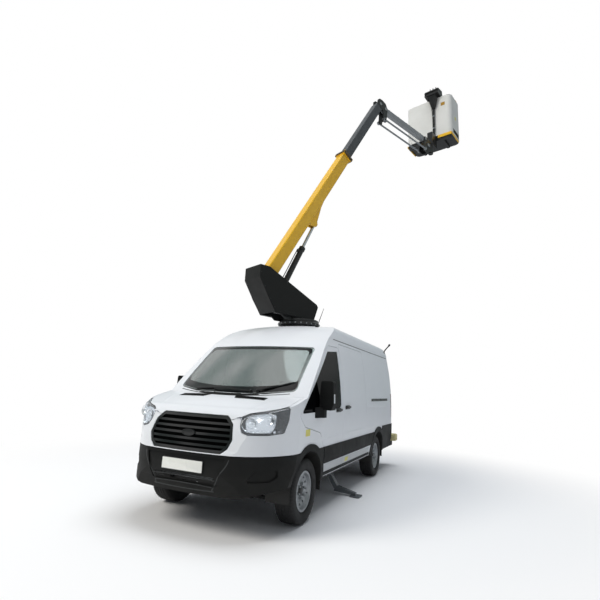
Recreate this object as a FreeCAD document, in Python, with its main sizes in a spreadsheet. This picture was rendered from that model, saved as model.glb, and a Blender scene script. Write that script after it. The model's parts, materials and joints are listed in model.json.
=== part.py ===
import FreeCAD, Part
import math
import os
import Sketcher
from FreeCAD import Placement, Rotation, Vector

# A panel van with an aerial work platform on its roof.
# Millimetres. +Z up, the van faces -Y, its left side is +X.
# The origin is on the ground, midway between the front wheels.

doc = FreeCAD.newDocument("CherryPickerTruck")

# Driving dimensions
sizes = {
    # van
    "wheelbase": 3300,
    "front_overhang": 1023,
    "rear_overhang": 1208,
    "body_width": 2059,
    "roof_top": 2530,
    "body_bottom": 400,
    "body_wall": 50,
    "skin_gap": 6,
    "seat_gap": 0.3,
    "nose_bow_centre": 2600,
    "corner_radius": 750,
    "corner_start": -260,
    "cowl_edge": 300,
    "cowl_level": 1400,
    "header_edge": 381,
    "header_level": 2066,
    "gutter_level": 2235,
    "gutter_half": 905,
    "waist_level": 1150,
    "bonnet_skin": 30,
    "bonnet_gap": 10,
    "glass_thick": 6,
    "glass_inset": 5,
    # wheels
    "track": 1740,
    "tyre_radius": 356,
    "tyre_width": 235,
    "rim_radius": 203,
    "rim_lip": 220,
    "bead_half": 86,
    "slot_circle": 149,
    "slot_radius": 13.5,
    "arch_radius": 435,
    "kingpin_offset": 55,
    # doors
    "door_front": -330,
    "door_rear": 1185,
    "door_bottom": 590,
    "slide_door_rear": 2440,
    "slide_door_top": 2180,
    "rear_door_half": 862,
    "rear_door_bottom": 660,
    "rear_door_top": 2190,
    # inside
    "floor_level": 600,
    "floor_thick": 40,
    "tread_half": 600,
    "tread_thick": 4,
    "bulkhead_place": 1215,
    "bulkhead_thick": 25,
    "firewall_place": -90,
    # chassis
    "rail_spread": 440,
    "rail_wide": 80,
    "rail_high": 130,
    "rail_level": 490,
    "tow_bolt": 14,
    "step_deep": 235,
    "step_half": 985,
    # tower and turret
    "tower_place": 1750,
    "tower_width": 420,
    "ring_radius": 360,
    "ring_base": 2540,
    "ring_top": 2604,
    "turn_gap": 6,
    "slew_spigot": 120,
    "boom_azimuth": 25,
    "turret_plate": 15,
    "turret_half": 150,
    "cover_half": 215,
    "cover_skin": 6,
    # boom
    "boom_lift_angle": 59,
    "foot_along": -780,
    "foot_level": 3240,
    "outer_length": 3500,
    "outer_back": 110,
    "outer_wide": 206,
    "outer_high": 216,
    "outer_wall": 8,
    "collar_long": 70,
    "collar_grow": 28,
    "inner_start": 2000,
    "inner_end": 5480,
    "inner_wide": 176,
    "inner_high": 186,
    "inner_wall": 7,
    "slide_gap": 0.6,
    "head_along": 5610,
    "nose_half": 50,
    "pin_radius": 25,
    "pin_gap": 0.3,
    # lift cylinder
    "lug_along": 1610,
    "lug_drop": 234,
    "lug_half": 42,
    "lug_plate": 15,
    "ram_foot_along": -500,
    "ram_foot_level": 2980,
    "ram_radius": 50,
    "rod_radius": 28,
    "ram_barrel_long": 1120,
    # jib
    "cheek_gap": 5,
    "cheek_plate": 15,
    "jib_pin_ahead": 190,
    "jib_pin_drop": 40,
    "jib_rod_back": 60,
    "jib_rod_drop": 325,
    "jib_long": 1660,
    "jib_high": 130,
    "jib_half": 45,
    "jib_rod_half": 95,
    "jib_rod_radius": 20,
    # basket
    "basket_post_ahead": 340,
    "basket_turn": -10,
    "post_spigot": 30,
    "basket_front": 215,
    "basket_deep": 700,
    "basket_wide": 1260,
    "basket_sideways": 135,
    "basket_base": 8370,
    "basket_high": 1150,
    "basket_wall": 10,
    "basket_floor": 40,
    "basket_corner": 130,
    "basket_rail": 18,
    # stabilisers
    "stab_place": 1600,
    "stab_slope": 56,
    "stab_elbow_out": 820,
    "stab_elbow_up": 85,
    "stab_leg_long": 330,
    "stab_leg_wide": 90,
    "stab_leg_deep": 60,
    "stab_foot_out": 1115,
    "stab_pad_long": 200,
    "stab_pad_wide": 150,
    "ground_gap": 2,
}

sheet = doc.addObject("Spreadsheet::Sheet", "Sizes")
for row, (alias, number) in enumerate(sizes.items(), 1):
    sheet.set(f"A{row}", alias.replace("_", " "))
    sheet.set(f"B{row}", str(number))
    sheet.setAlias(f"B{row}", alias)
doc.recompute()


class Link:
    """A length that knows its number and its formula over the sheet's cells."""

    def __init__(self, number, text):
        self.number = number
        self.text = text

    def __float__(self):
        return float(self.number)

    def __neg__(self):
        return Link(-self.number, f"(0 - {self.text})")

    def __add__(self, other):
        other = link(other)
        return Link(self.number + other.number, f"({self.text} + {other.text})")

    def __sub__(self, other):
        other = link(other)
        return Link(self.number - other.number, f"({self.text} - {other.text})")

    def __mul__(self, other):
        other = link(other)
        return Link(self.number * other.number, f"({self.text} * {other.text})")

    def __truediv__(self, other):
        other = link(other)
        return Link(self.number / other.number, f"({self.text} / {other.text})")

    __radd__ = __add__
    __rmul__ = __mul__

    def __rsub__(self, other):
        return link(other) - self


def link(value):
    if isinstance(value, Link):
        return value
    return Link(float(value), f"({float(value)})")


class Sheet:
    """Each cell by its alias, as a Link."""

    def __getattr__(self, alias):
        return Link(float(sheet.get(alias)), f"Sizes.{alias}")


S = Sheet()


def mm(value):
    return float(value)


# Sketched bodies

def newBody(label):
    body = doc.addObject("PartDesign::Body", label)
    body.Label = label
    return body


def originPlane(body, role):
    return next(item for item in body.Origin.OriginFeatures if item.Role == role)


def newSketch(body, role, offset=0):
    sketch = body.newObject("Sketcher::SketchObject", "outline")
    sketch.AttachmentSupport = (originPlane(body, role), [""])
    sketch.MapMode = "FlatFace"
    sketch.setExpression("AttachmentOffset.Base.z", link(offset).text)
    return sketch


def pinPoint(sketch, shape, end, point):
    for kind, value in (("DistanceX", point[0]), ("DistanceY", point[1])):
        value = link(value)
        index = sketch.addConstraint(Sketcher.Constraint(kind, -1, 1, shape, end, value.number))
        sketch.setExpression(f"Constraints[{index}]", value.text)


def drawLoop(sketch, points):
    """A closed outline with every corner tied to the sheet."""
    corners = [Vector(mm(x), mm(y), 0) for x, y in points]
    first = sketch.GeometryCount
    count = len(corners)
    for index in range(count):
        sketch.addGeometry(Part.LineSegment(corners[index], corners[(index + 1) % count]), False)
    for index in range(count):
        following = first + (index + 1) % count
        sketch.addConstraint(Sketcher.Constraint("Coincident", first + index, 2, following, 1))
        pinPoint(sketch, first + index, 1, points[index])


def drawBox(sketch, left, right, low, high):
    drawLoop(sketch, [(left, low), (right, low), (right, high), (left, high)])


def drawRoundedBox(sketch, left, right, low, high, radius):
    """A box outline whose four corners are arcs."""
    left, right, low, high, radius = (link(v) for v in (left, right, low, high, radius))
    runs = [((left + radius, low), (right - radius, low)),
            ((right, low + radius), (right, high - radius)),
            ((right - radius, high), (left + radius, high)),
            ((left, high - radius), (left, low + radius))]
    centres = [(right - radius, low + radius), (right - radius, high - radius),
               (left + radius, high - radius), (left + radius, low + radius)]
    first = sketch.GeometryCount
    for start, end in runs:
        ends = [Vector(mm(x), mm(y), 0) for x, y in (start, end)]
        index = sketch.addGeometry(Part.LineSegment(*ends), False)
        pinPoint(sketch, index, 1, start)
        pinPoint(sketch, index, 2, end)
    for corner, (x, y) in enumerate(centres):
        circle = Part.Circle(Vector(mm(x), mm(y), 0), Vector(0, 0, 1), radius.number)
        turn = (corner - 1) * math.pi / 2
        index = sketch.addGeometry(Part.ArcOfCircle(circle, turn, turn + math.pi / 2), False)
        following = first + (corner + 1) % 4
        sketch.addConstraint(Sketcher.Constraint("Coincident", index, 1, first + corner, 2))
        sketch.addConstraint(Sketcher.Constraint("Coincident", index, 2, following, 1))
        bend = sketch.addConstraint(Sketcher.Constraint("Radius", index, radius.number))
        sketch.setExpression(f"Constraints[{bend}]", radius.text)


def drawCircle(sketch, centre, radius):
    radius = link(radius)
    middle = Vector(mm(centre[0]), mm(centre[1]), 0)
    shape = sketch.addGeometry(Part.Circle(middle, Vector(0, 0, 1), radius.number), False)
    pinPoint(sketch, shape, 3, centre)
    index = sketch.addConstraint(Sketcher.Constraint("Radius", shape, radius.number))
    sketch.setExpression(f"Constraints[{index}]", radius.text)


def feature(body, kind, sketch, length=None, **options):
    item = body.newObject(f"PartDesign::{kind}", kind.lower())
    item.Profile = sketch
    if length is not None:
        item.setExpression("Length", link(length).text)
    for name, value in options.items():
        setattr(item, name, value)
    body.Tip = item
    doc.recompute()
    return item


def pad(body, sketch, length, **options):
    return feature(body, "Pad", sketch, length, **options)


def pocket(body, sketch, length, **options):
    before = body.Shape.Volume
    item = feature(body, "Pocket", sketch, length, **options)
    if body.Shape.Volume >= before - 1:
        item.Reversed = not item.Reversed
        doc.recompute()
    return item


def turned(body, sketch, kind="Revolution", axis="H_Axis"):
    return feature(body, kind, sketch, ReferenceAxis=(sketch, [axis]), Angle=360)


def roundEdges(body, radius, choose):
    """Rounds the edges of the body's tip that the test picks."""
    base = body.Tip
    names = [f"Edge{index}" for index, edge in enumerate(base.Shape.Edges, 1) if choose(edge)]
    item = body.newObject("PartDesign::Fillet", "rounding")
    item.Base = (base, names)
    item.setExpression("Radius", link(radius).text)
    body.Tip = item
    doc.recompute()
    return item


def runsAlong(edge, axis):
    """True for a straight edge along one of the axes 0, 1, 2."""
    box = edge.BoundBox
    spans = [box.XLength, box.YLength, box.ZLength]
    return all(spans[other] < 0.01 for other in range(3) if other != axis) and spans[axis] > 0.01


def place(item, placement):
    item.Placement = placement
    return item


def shapePart(label, shape, placement=None):
    item = doc.addObject("Part::Feature", label)
    item.Label = label
    item.Shape = shape
    if placement is not None:
        item.Placement = placement
    return item


nodes = []


def keep(item):
    nodes.append(item)
    return item


# Free shapes

def arc(a, b, c):
    return Part.Arc(Vector(*a), Vector(*b), Vector(*c)).toShape()


def line(a, b):
    return Part.LineSegment(Vector(*a), Vector(*b)).toShape()


def faceOf(edges):
    return Part.Face(Part.Wire(Part.__sortEdges__(edges)))


def polygonFace(points):
    vectors = [Vector(*point) for point in points]
    return Part.Face(Part.makePolygon(vectors + vectors[:1]))


def roundedPolygon(points, radius):
    """A closed outline of straight runs with each corner rounded, in its own plane."""
    count = len(points)
    vectors = [Vector(*point) for point in points]
    edges = []
    starts = []
    ends = []
    middles = []
    for index, corner in enumerate(vectors):
        back = (vectors[index - 1] - corner).normalize()
        ahead = (vectors[(index + 1) % count] - corner).normalize()
        half = back.getAngle(ahead) / 2
        reach = radius / math.tan(half)
        bisector = (back + ahead).normalize()
        centre = corner + bisector * (radius / math.sin(half))
        starts.append(corner + back * reach)
        ends.append(corner + ahead * reach)
        middles.append(centre - bisector * radius)
    for index in range(count):
        edges.append(Part.Arc(starts[index], middles[index], ends[index]).toShape())
        edges.append(Part.LineSegment(ends[index], starts[(index + 1) % count]).toShape())
    return Part.Face(Part.Wire(edges))


def sidePrism(points, radius, inner, outer):
    """A side-view outline, as (along, up) points, made solid from X = inner to X = outer."""
    flat = [(inner, y, z) for y, z in points]
    face = roundedPolygon(flat, radius) if radius else polygonFace(flat)
    return face.extrude(Vector(outer - inner, 0, 0))


def frontPrism(points, radius, front, back):
    """A front-view outline, as (across, up) points, made solid from Y = front to Y = back."""
    flat = [(x, front, z) for x, z in points]
    face = roundedPolygon(flat, radius) if radius else polygonFace(flat)
    return face.extrude(Vector(0, back - front, 0))


def block(x0, x1, y0, y1, z0, z1):
    return Part.makeBox(x1 - x0, y1 - y0, z1 - z0, Vector(x0, y0, z0))


def rod(start, finish, radius):
    start = Vector(*start)
    direction = Vector(*finish) - start
    return Part.makeCylinder(radius, direction.Length, start, direction)


def mirrored(shape):
    return shape.mirror(Vector(0, 0, 0), Vector(1, 0, 0))


halfWidth = mm(S.body_width) / 2
rearFace = mm(S.wheelbase + S.rear_overhang)
noseFace = -mm(S.front_overhang)
roofTop = mm(S.roof_top)
bodyBottom = mm(S.body_bottom)
bowCentre = mm(S.nose_bow_centre)


hulls = {}


def hull(depth, bottom):
    """The van's closed outer form, moved in by depth, and cut off at the level bottom."""
    if (depth, bottom) not in hulls:
        hulls[depth, bottom] = makeHull(depth, bottom)
    return hulls[depth, bottom]


def makeHull(depth, bottom):
    cowl = -mm(S.cowl_edge)
    cowlLevel = mm(S.cowl_level)
    header = mm(S.header_edge)
    headerLevel = mm(S.header_level)
    domeEnd = header + 1420

    def q(y, z):
        return (0, y + depth, z - depth)

    # side view of the middle, from the bumper up over the roof
    spine = [
        line((0, bowCentre, bottom), (0, noseFace + 63 + depth, bottom)),
        line((0, noseFace + 63 + depth, bottom), q(noseFace + 38, 520)),
        arc(q(noseFace + 38, 520), q(noseFace, 680), q(noseFace + 38, 850)),
        arc(q(noseFace + 38, 850), q(noseFace + 73, 1020), q(noseFace + 138, 1180)),
        arc(q(noseFace + 138, 1180), q(noseFace + 193, 1238), q(noseFace + 283, 1272)),
        arc(q(noseFace + 283, 1272), q((noseFace + 283 + cowl) / 2, 1345), q(cowl, cowlLevel)),
        arc(q(cowl, cowlLevel), q((cowl + header) / 2 - 6, (cowlLevel + headerLevel) / 2 + 8),
            q(header, headerLevel)),
        arc(q(header, headerLevel), q(header + 379, headerLevel + 254),
            q(header + 870, roofTop - 50)),
        arc(q(header + 870, roofTop - 50), q(header + 1140, roofTop - 12), q(domeEnd, roofTop)),
        line(q(domeEnd, roofTop), (0, bowCentre, roofTop - depth)),
        line((0, bowCentre, roofTop - depth), (0, bowCentre, bottom)),
    ]
    pivot = Vector(0, bowCentre, 0)
    front = faceOf(spine).revolve(pivot, Vector(0, 0, 1), 180)
    front.rotate(pivot, Vector(0, 0, 1), -90)
    back = block(-1500, 1500, bowCentre, rearFace - depth, bottom, roofTop - depth)

    # view from behind
    far = -3000
    gutterHalf = mm(S.gutter_half)
    gutter = mm(S.gutter_level)
    waist = mm(S.waist_level)

    def halfSection(side):
        def s(x, z):
            return (side * (x - depth), far, z - depth)
        return [
            arc((0, far, roofTop - depth), s(330, roofTop - 8), s(640, roofTop - 34)),
            arc(s(640, roofTop - 34), s(835, roofTop - 115), s(gutterHalf, gutter)),
            arc(s(gutterHalf, gutter), s((gutterHalf + halfWidth) / 2 + 19, 1750),
                s(halfWidth, waist)),
            arc(s(halfWidth, waist), s(halfWidth - 0.5, 900), s(halfWidth - 11, 640)),
            line(s(halfWidth - 11, 640), (side * (halfWidth - 44 - depth), far, 430)),
            line((side * (halfWidth - 44 - depth), far, 430),
                 (side * (halfWidth - 79 - depth), far, bottom)),
        ]

    lowHalf = halfWidth - 79 - depth
    section = halfSection(1) + halfSection(-1) + [line((lowHalf, far, bottom), (-lowHalf, far, bottom))]
    sides = faceOf(section).extrude(Vector(0, 9000, 0))

    # view from above, with rounded front corners
    radius = mm(S.corner_radius) - depth
    cornerStart = mm(S.corner_start)
    planHalf = halfWidth + 3 - depth
    cornerX = planHalf - radius
    cornerTurn = math.degrees(math.asin(cornerX / (bowCentre - noseFace - depth - radius))) + 0.8
    rearRound = 90

    def halfPlan(side):
        def around(degrees):
            angle = math.radians(degrees)
            return (side * (cornerX + radius * math.sin(angle)),
                    cornerStart - radius * math.cos(angle), 0)
        edgeX = planHalf
        rear = rearFace - depth
        bend = rearRound * (1 - math.cos(math.pi / 4))
        return [
            line((0, -1500, 0), (around(cornerTurn)[0], -1500, 0)),
            line((around(cornerTurn)[0], -1500, 0), around(cornerTurn)),
            arc(around(cornerTurn), around(50), around(90)),
            line(around(90), (side * edgeX, rear - rearRound, 0)),
            arc((side * edgeX, rear - rearRound, 0), (side * (edgeX - bend), rear - bend, 0),
                (side * (edgeX - rearRound), rear, 0)),
            line((side * (edgeX - rearRound), rear, 0), (0, rear, 0)),
        ]

    plan = faceOf(halfPlan(1) + halfPlan(-1)).extrude(Vector(0, 0, 4000))
    whole = front.fuse(back).removeSplitter()
    return whole.common(sides).common(plan)


wall = mm(S.body_wall)
gap = mm(S.skin_gap)
outerHull = hull(0, bodyBottom)
innerHull = hull(wall, bodyBottom - 100)
shell = outerHull.cut(innerHull)

# Regions that split the shell, in side view
wheelbase = mm(S.wheelbase)
tyreRadius = mm(S.tyre_radius)
doorFront = mm(S.door_front)
doorRear = mm(S.door_rear)
doorBottom = mm(S.door_bottom)
bumperTop = 800
wide = 1300


def archCut(place, radius):
    return Part.makeCylinder(radius, 2 * wide, Vector(-wide, place, tyreRadius), Vector(1, 0, 0))


arches = archCut(0, mm(S.arch_radius)).fuse(archCut(wheelbase, mm(S.arch_radius)))

doorOutline = [
    (doorFront, 1205), (657, 2068), (760, 2108), (doorRear - 60, 2120), (doorRear, 2060),
    (doorRear, doorBottom), (480, doorBottom), (466, 760), (300, 985), (-180, 1080),
]


slideOutline = [
    (doorRear + gap, doorBottom), (mm(S.slide_door_rear), doorBottom),
    (mm(S.slide_door_rear), mm(S.slide_door_top)), (doorRear + gap, mm(S.slide_door_top)),
]
windowOutline = [(-284, 1226), (676, 2022), (1092, 2058), (1112, 1300), (1060, 1262), (300, 1232)]


def halfOf(shape, side):
    """The part of a shape on the left (side 1) or right (side -1) of the van."""
    if side > 0:
        return shape.common(block(0, 2 * wide, -3000, 9000, -100, 4000))
    return shape.common(block(-2 * wide, 0, -3000, 9000, -100, 4000))


def layer(outside, inside):
    """A skin that follows the van's form, between two depths."""
    return hull(outside, bodyBottom - 50).cut(hull(inside, bodyBottom - 100))


# Outlines in front view, as (across, up) points
def bothSides(points):
    """Completes a half outline, listed from the bottom centre up, with its mirror image."""
    return points + [(-x, z) for x, z in reversed(points)]


bonnetSide = 968
bonnetCorners = [(470, 1150), (580, 1186), (833, 1240), (940, 1294), (bonnetSide, 1310)]
bonnetEdge = bothSides(bonnetCorners + [(bonnetSide, 1900)])
screenEdge = bothSides([(500, 1418), (862, 1466), (828, 2062)])
grilleEdge = bothSides([(440, 814), (508, 868), (545, 955), (512, 1112), (425, 1186)])
lampEdge = [(590, 1090), (620, 1030), (690, 1008), (860, 1010), (962, 1030), (985, 1160),
            (992, 1316), (905, 1276), (800, 1248), (655, 1220), (584, 1180)]

cowlCut = Part.makeCylinder(bowCentre + mm(S.cowl_edge) + gap, 3000, Vector(0, bowCentre, 0))
bonnetRegion = frontPrism(bonnetEdge, 0, -1200, 0).cut(cowlCut)
bonnetRoomEdge = bothSides([(x, z - 1.25 * gap) for x, z in bonnetCorners[:-1]]
                           + [(bonnetSide + gap, bonnetCorners[-1][1] - 1.25 * gap),
                              (bonnetSide + gap, 1900)])
bonnetRoom = frontPrism(bonnetRoomEdge, 0, -1200, 0)
bonnetRoom = bonnetRoom.cut(Part.makeCylinder(bowCentre + mm(S.cowl_edge), 3000,
                                              Vector(0, bowCentre, 0)))


def frontFace(points, radius, amount=0):
    """An outline in front view, rounded, then moved out by an amount."""
    face = roundedPolygon([(x, 0, z) for x, z in points], radius)
    if amount:
        face = Part.Face(face.OuterWire.makeOffset2D(amount, 0))
    return face


def frontSolid(points, radius, amount, front, back):
    face = frontFace(points, radius, amount)
    face.translate(Vector(0, front, 0))
    return face.extrude(Vector(0, back - front, 0))


def sideSolid(points, radius, amount, inner, outer):
    face = roundedPolygon([(0, y, z) for y, z in points], radius)
    if amount:
        face = Part.Face(face.OuterWire.makeOffset2D(amount, 0))
    face.translate(Vector(inner, 0, 0))
    return face.extrude(Vector(outer - inner, 0, 0))


seat = mm(S.seat_gap)
beyond = rearFace + 500
roofEdge = [(-500, 2105), (560, 2105), (700, 2227), (beyond, 2227), (beyond, 3000), (-500, 3000)]
roofRegion = sidePrism(roofEdge, 0, -wide, wide)
frontRegion = sidePrism([(-1300, bumperTop + gap), (1000, bumperTop + gap), (1000, 3000),
                         (-1300, 3000)], 0, -wide, wide)
sideRegion = sidePrism([(60, 0), (60, bumperTop + gap), (1000, bumperTop + gap), (1000, 3000),
                        (beyond, 3000), (beyond, 0)], 0, -wide, wide)
doorRoom = sideSolid(doorOutline, 30, gap, -wide, wide)
doorRegion = sideSolid(doorOutline, 30, 0, 0, wide)
windowRegion = sideSolid(windowOutline, 18, 0, 0, wide)
glassRegion = sideSolid(windowOutline, 18, -seat, 0, wide)
slideRoom = sideSolid(slideOutline, 40, gap, 0, wide)
slideRegion = sideSolid(slideOutline, 40, 0, 0, wide)
rearHalf = mm(S.rear_door_half)
rearRoom = block(-rearHalf - gap, rearHalf + gap, rearFace - 2 * wall, rearFace + 100,
                 mm(S.rear_door_bottom) - gap, mm(S.rear_door_top) + gap)
lampRoom = frontSolid(lampEdge, 24, seat, -1200, -405)
lampRegion = frontSolid(lampEdge, 24, 0, -1200, -405 - seat)
grilleRoom = frontSolid(grilleEdge, 40, seat, -1200, -700)
grilleRegion = frontSolid(grilleEdge, 40, 0, -1200, -700)
screenRoom = frontSolid(screenEdge, 50, 0, -600, 700)
screenRegion = frontSolid(screenEdge, 50, -seat, -600, 700)
tailLampRoom = {side: block(min(side * 912, side * wide), max(side * 912, side * wide),
                            rearFace - 120, rearFace + 50, 1000, 1480) for side in (1, -1)}

# Front body: wings, cowl and windscreen pillars
frontShell = shell.common(frontRegion).cut(roofRegion).cut(doorRoom).cut(bonnetRoom)
frontShell = frontShell.cut(arches).cut(lampRoom).cut(mirrored(lampRoom))
frontShell = frontShell.cut(grilleRoom).cut(screenRoom)
# rubber stops that the closed bonnet rests on
stopSpan = (503, 535)
stopTops = [bonnetCorners[0][1] - seat - 0.05 + (x - bonnetCorners[0][0])
            * (bonnetCorners[1][1] - bonnetCorners[0][1])
            / (bonnetCorners[1][0] - bonnetCorners[0][0]) for x in stopSpan]
bonnetStop = frontPrism([(stopSpan[0], 1130), (stopSpan[1], 1130), (stopSpan[1], stopTops[1]),
                         (stopSpan[0], stopTops[0])], 0, -1200, -600).common(layer(8, 28))
keep(shapePart("front_body", frontShell.multiFuse([bonnetStop, mirrored(bonnetStop)])))

# Hinge of a rear door: an eye on the body carries the pin, an eye on the door turns on it
hingeOut = rearHalf + 16
hingeBack = rearFace + 14.5
hingePin = 7
hingeTall = 90
hingeLevels = [mm(S.rear_door_bottom) + 150, mm(S.rear_door_bottom) + 720,
               mm(S.rear_door_top) - 240]


def hingeKnuckle(side, level, inward):
    """Half of a hinge; inward is 1 for the door's half and -1 for the body's."""
    eye = Part.makeCylinder(14, hingeTall / 2 - seat, Vector(side * hingeOut, hingeBack, level))
    reach = side * (hingeOut - inward * 32)
    foot = side * (hingeOut - inward * 18)
    top = level + hingeTall / 2 - seat
    strap = block(min(side * hingeOut, reach), max(side * hingeOut, reach), rearFace + seat,
                  rearFace + 8, level, top)
    base = block(min(foot, reach), max(foot, reach), rearFace - 4, rearFace + 8, level, top)
    return eye.multiFuse([strap, base])


# Body sides, with the sliding door's opening on the left
towerPlace = mm(S.tower_place)
sideShell = shell.common(sideRegion).cut(roofRegion).cut(doorRoom).cut(arches).cut(rearRoom)
for side, label in ((1, "side_left"), (-1, "side_right")):
    panel = halfOf(sideShell, side).cut(tailLampRoom[side])
    if side > 0:
        panel = panel.cut(slideRoom)
    hinges = [hingeKnuckle(side, z, -1) for z in hingeLevels]
    hinges += [Part.makeCylinder(hingePin, hingeTall - 6, Vector(side * hingeOut, hingeBack, z + 3))
               for z in hingeLevels]
    keep(shapePart(label, panel.multiFuse(hinges)))

# Roof
roofHole = Part.makeCylinder(mm(S.ring_radius) - 60, 400, Vector(0, towerPlace, roofTop - 300))
keep(shapePart("roof_panel", shell.common(roofRegion).cut(roofHole)))

# Sliding side door, bonnet, bumper
keep(shapePart("sliding_door", halfOf(shell, 1).common(slideRegion)))
bonnetSkin = outerHull.cut(hull(mm(S.bonnet_skin), bodyBottom - 100))
grilleClear = frontSolid(grilleEdge, 40, gap, -1200, -700)
bonnetPanel = bonnetSkin.common(bonnetRegion).cut(grilleClear).cut(doorRoom)
for side in (1, -1):
    lampClear = frontSolid([(side * x, z) for x, z in lampEdge[::side]], 24, gap, -1200, gap - 405)
    bonnetPanel = bonnetPanel.cut(lampClear)
keep(shapePart("bonnet", bonnetPanel))
bumperSkin = outerHull.cut(hull(25, bodyBottom - 100))
bumperSkin = bumperSkin.common(block(-wide, wide, -1200, 0, 0, bumperTop)).cut(arches)
recessEdge = bothSides([(412, 500), (508, 772)])
slotEdge = bothSides([(368, 524), (384, 584)])
fogEdge = [(706, 556), (762, 660), (934, 668), (936, 600), (884, 556)]
bumperCuts = [frontSolid(recessEdge, 16, 0, -1200, -700).cut(hull(14, bodyBottom - 50)),
              frontSolid(slotEdge, 10, 0, -1200, -800)]
for fogPocket in (frontSolid(fogEdge, 14, 0, -1200, -600).cut(hull(16, bodyBottom - 50)),):
    bumperCuts += [fogPocket, mirrored(fogPocket)]
cornerCut = frontPrism([(600, bodyBottom - 1), (wide, bodyBottom + 139), (wide, bodyBottom - 1)],
                       0, -1200, -300)
bumperCuts += [cornerCut, mirrored(cornerCut)]
keep(shapePart("front_bumper", bumperSkin.cut(Part.makeCompound(bumperCuts))))

# Windscreen, grille and lamps
keep(shapePart("windscreen", layer(5, 11).common(screenRegion)))
grilleSkin = layer(4, 34)
grilleFrame = grilleSkin.common(grilleRegion).cut(
    frontSolid(grilleEdge, 40, -32, -1200, -700))
barLevels = [868 + 56 * index for index in range(5)]
grilleBars = [layer(8, 30).common(grilleRegion).common(block(-600, 600, -1200, -700, z, z + 24))
              for z in barLevels]
keep(shapePart("grille", grilleFrame.multiFuse(grilleBars)))
lamp = layer(2, 46).common(lampRegion)
keep(shapePart("headlamps", Part.makeCompound([lamp, mirrored(lamp)])))
tailLamps = [layer(0.5, 44).common(block(min(side * (912 + seat), side * wide),
                                         max(side * (912 + seat), side * wide),
                                         rearFace - 120 + seat, rearFace + 50,
                                         1000 + seat, 1480 - seat)) for side in (1, -1)]
keep(shapePart("tail_lamps", Part.makeCompound(tailLamps)))

# Front doors with their glass and fittings
mirrorFront = 215
for side, name in ((1, "left"), (-1, "right")):
    door = halfOf(shell, 1).common(doorRegion).cut(windowRegion)
    glass = halfOf(layer(6, 12), 1).common(glassRegion)
    band = halfOf(layer(-8, -seat), 1).common(doorRegion).common(
        block(0, wide, 0, 3000, doorBottom + 4, bumperTop))
    mirror = roundedPolygon([(1050, mirrorFront, 1270), (1196, mirrorFront, 1256),
                             (1222, mirrorFront, 1330), (1212, mirrorFront, 1610),
                             (1052, mirrorFront, 1610), (1034, mirrorFront, 1400)], 26)
    arm = polygonFace([(980, mirrorFront - 130, 1166), (1034, mirrorFront - 110, 1166),
                       (1100, mirrorFront + 20, 1166), (1100, mirrorFront + 100, 1166),
                       (980, mirrorFront + 60, 1166)]).extrude(Vector(0, 0, 124))
    housing = mirror.extrude(Vector(0, 130, 0)).fuse(arm).cut(hull(-seat, bodyBottom - 50))
    shapes = [door, glass, Part.makeCompound([band] + housing.Solids)]
    if side < 0:
        shapes = [mirrored(shape) for shape in shapes]
    keep(shapePart(f"door_{name}", shapes[0]))
    keep(shapePart(f"door_{name}_glass", shapes[1]))
    keep(shapePart(f"door_{name}_fittings", shapes[2]))

# Rear doors, on three hinges each
for side, name in ((1, "left"), (-1, "right")):
    inner, outer = sorted((side * gap / 2, side * rearHalf))
    leaf = shell.common(block(inner, outer, rearFace - wall - 1, rearFace + 10,
                              mm(S.rear_door_bottom), mm(S.rear_door_top)))
    knuckles = [hingeKnuckle(side, z + hingeTall / 2 + seat, 1) for z in hingeLevels]
    leaf = leaf.multiFuse(knuckles).cut(Part.makeCompound(
        [Part.makeCylinder(hingePin + seat, 2 * hingeTall, Vector(side * hingeOut, hingeBack, z))
         for z in hingeLevels]))
    keep(shapePart(f"rear_door_{name}", leaf))

# Side mouldings and arch trims
bandRegion = sidePrism([(300, doorBottom + 4), (wheelbase - 300, doorBottom + 4),
                        (wheelbase - 300, bumperTop), (300, bumperTop)], 0, 0, wide)
doorBand = block(0, wide, 400, doorRear + gap / 2, 0, bumperTop + 1)
slideSeams = slideRoom.cut(slideRegion)
trimRegion = archCut(0, 520).fuse(archCut(wheelbase, 520)).cut(arches)
trimRegion = trimRegion.common(block(0, wide, -380, 4000, doorBottom - 190, 1200))
trims = halfOf(layer(-14, -seat), 1).common(trimRegion).cut(
    block(0, wide, -600, 0, 0, bumperTop))
bands = halfOf(layer(-8, -seat), 1).common(bandRegion).cut(doorBand).cut(slideSeams)
bands = bands.cut(archCut(0, 520)).cut(archCut(wheelbase, 520))
cornerBand = sidePrism([(wheelbase + 300, bodyBottom + 12), (rearFace - 30, bodyBottom + 12),
                        (rearFace - 30, 872), (wheelbase + 300, 872)], 0, 0, wide)
corners = halfOf(layer(-8, -seat), 1).common(cornerBand).cut(archCut(wheelbase, 520))
cladding = [trims, bands, corners]
keep(shapePart("cladding", Part.makeCompound(
    [solid for shape in cladding for half in (shape, mirrored(shape)) for solid in half.Solids])))

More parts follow.
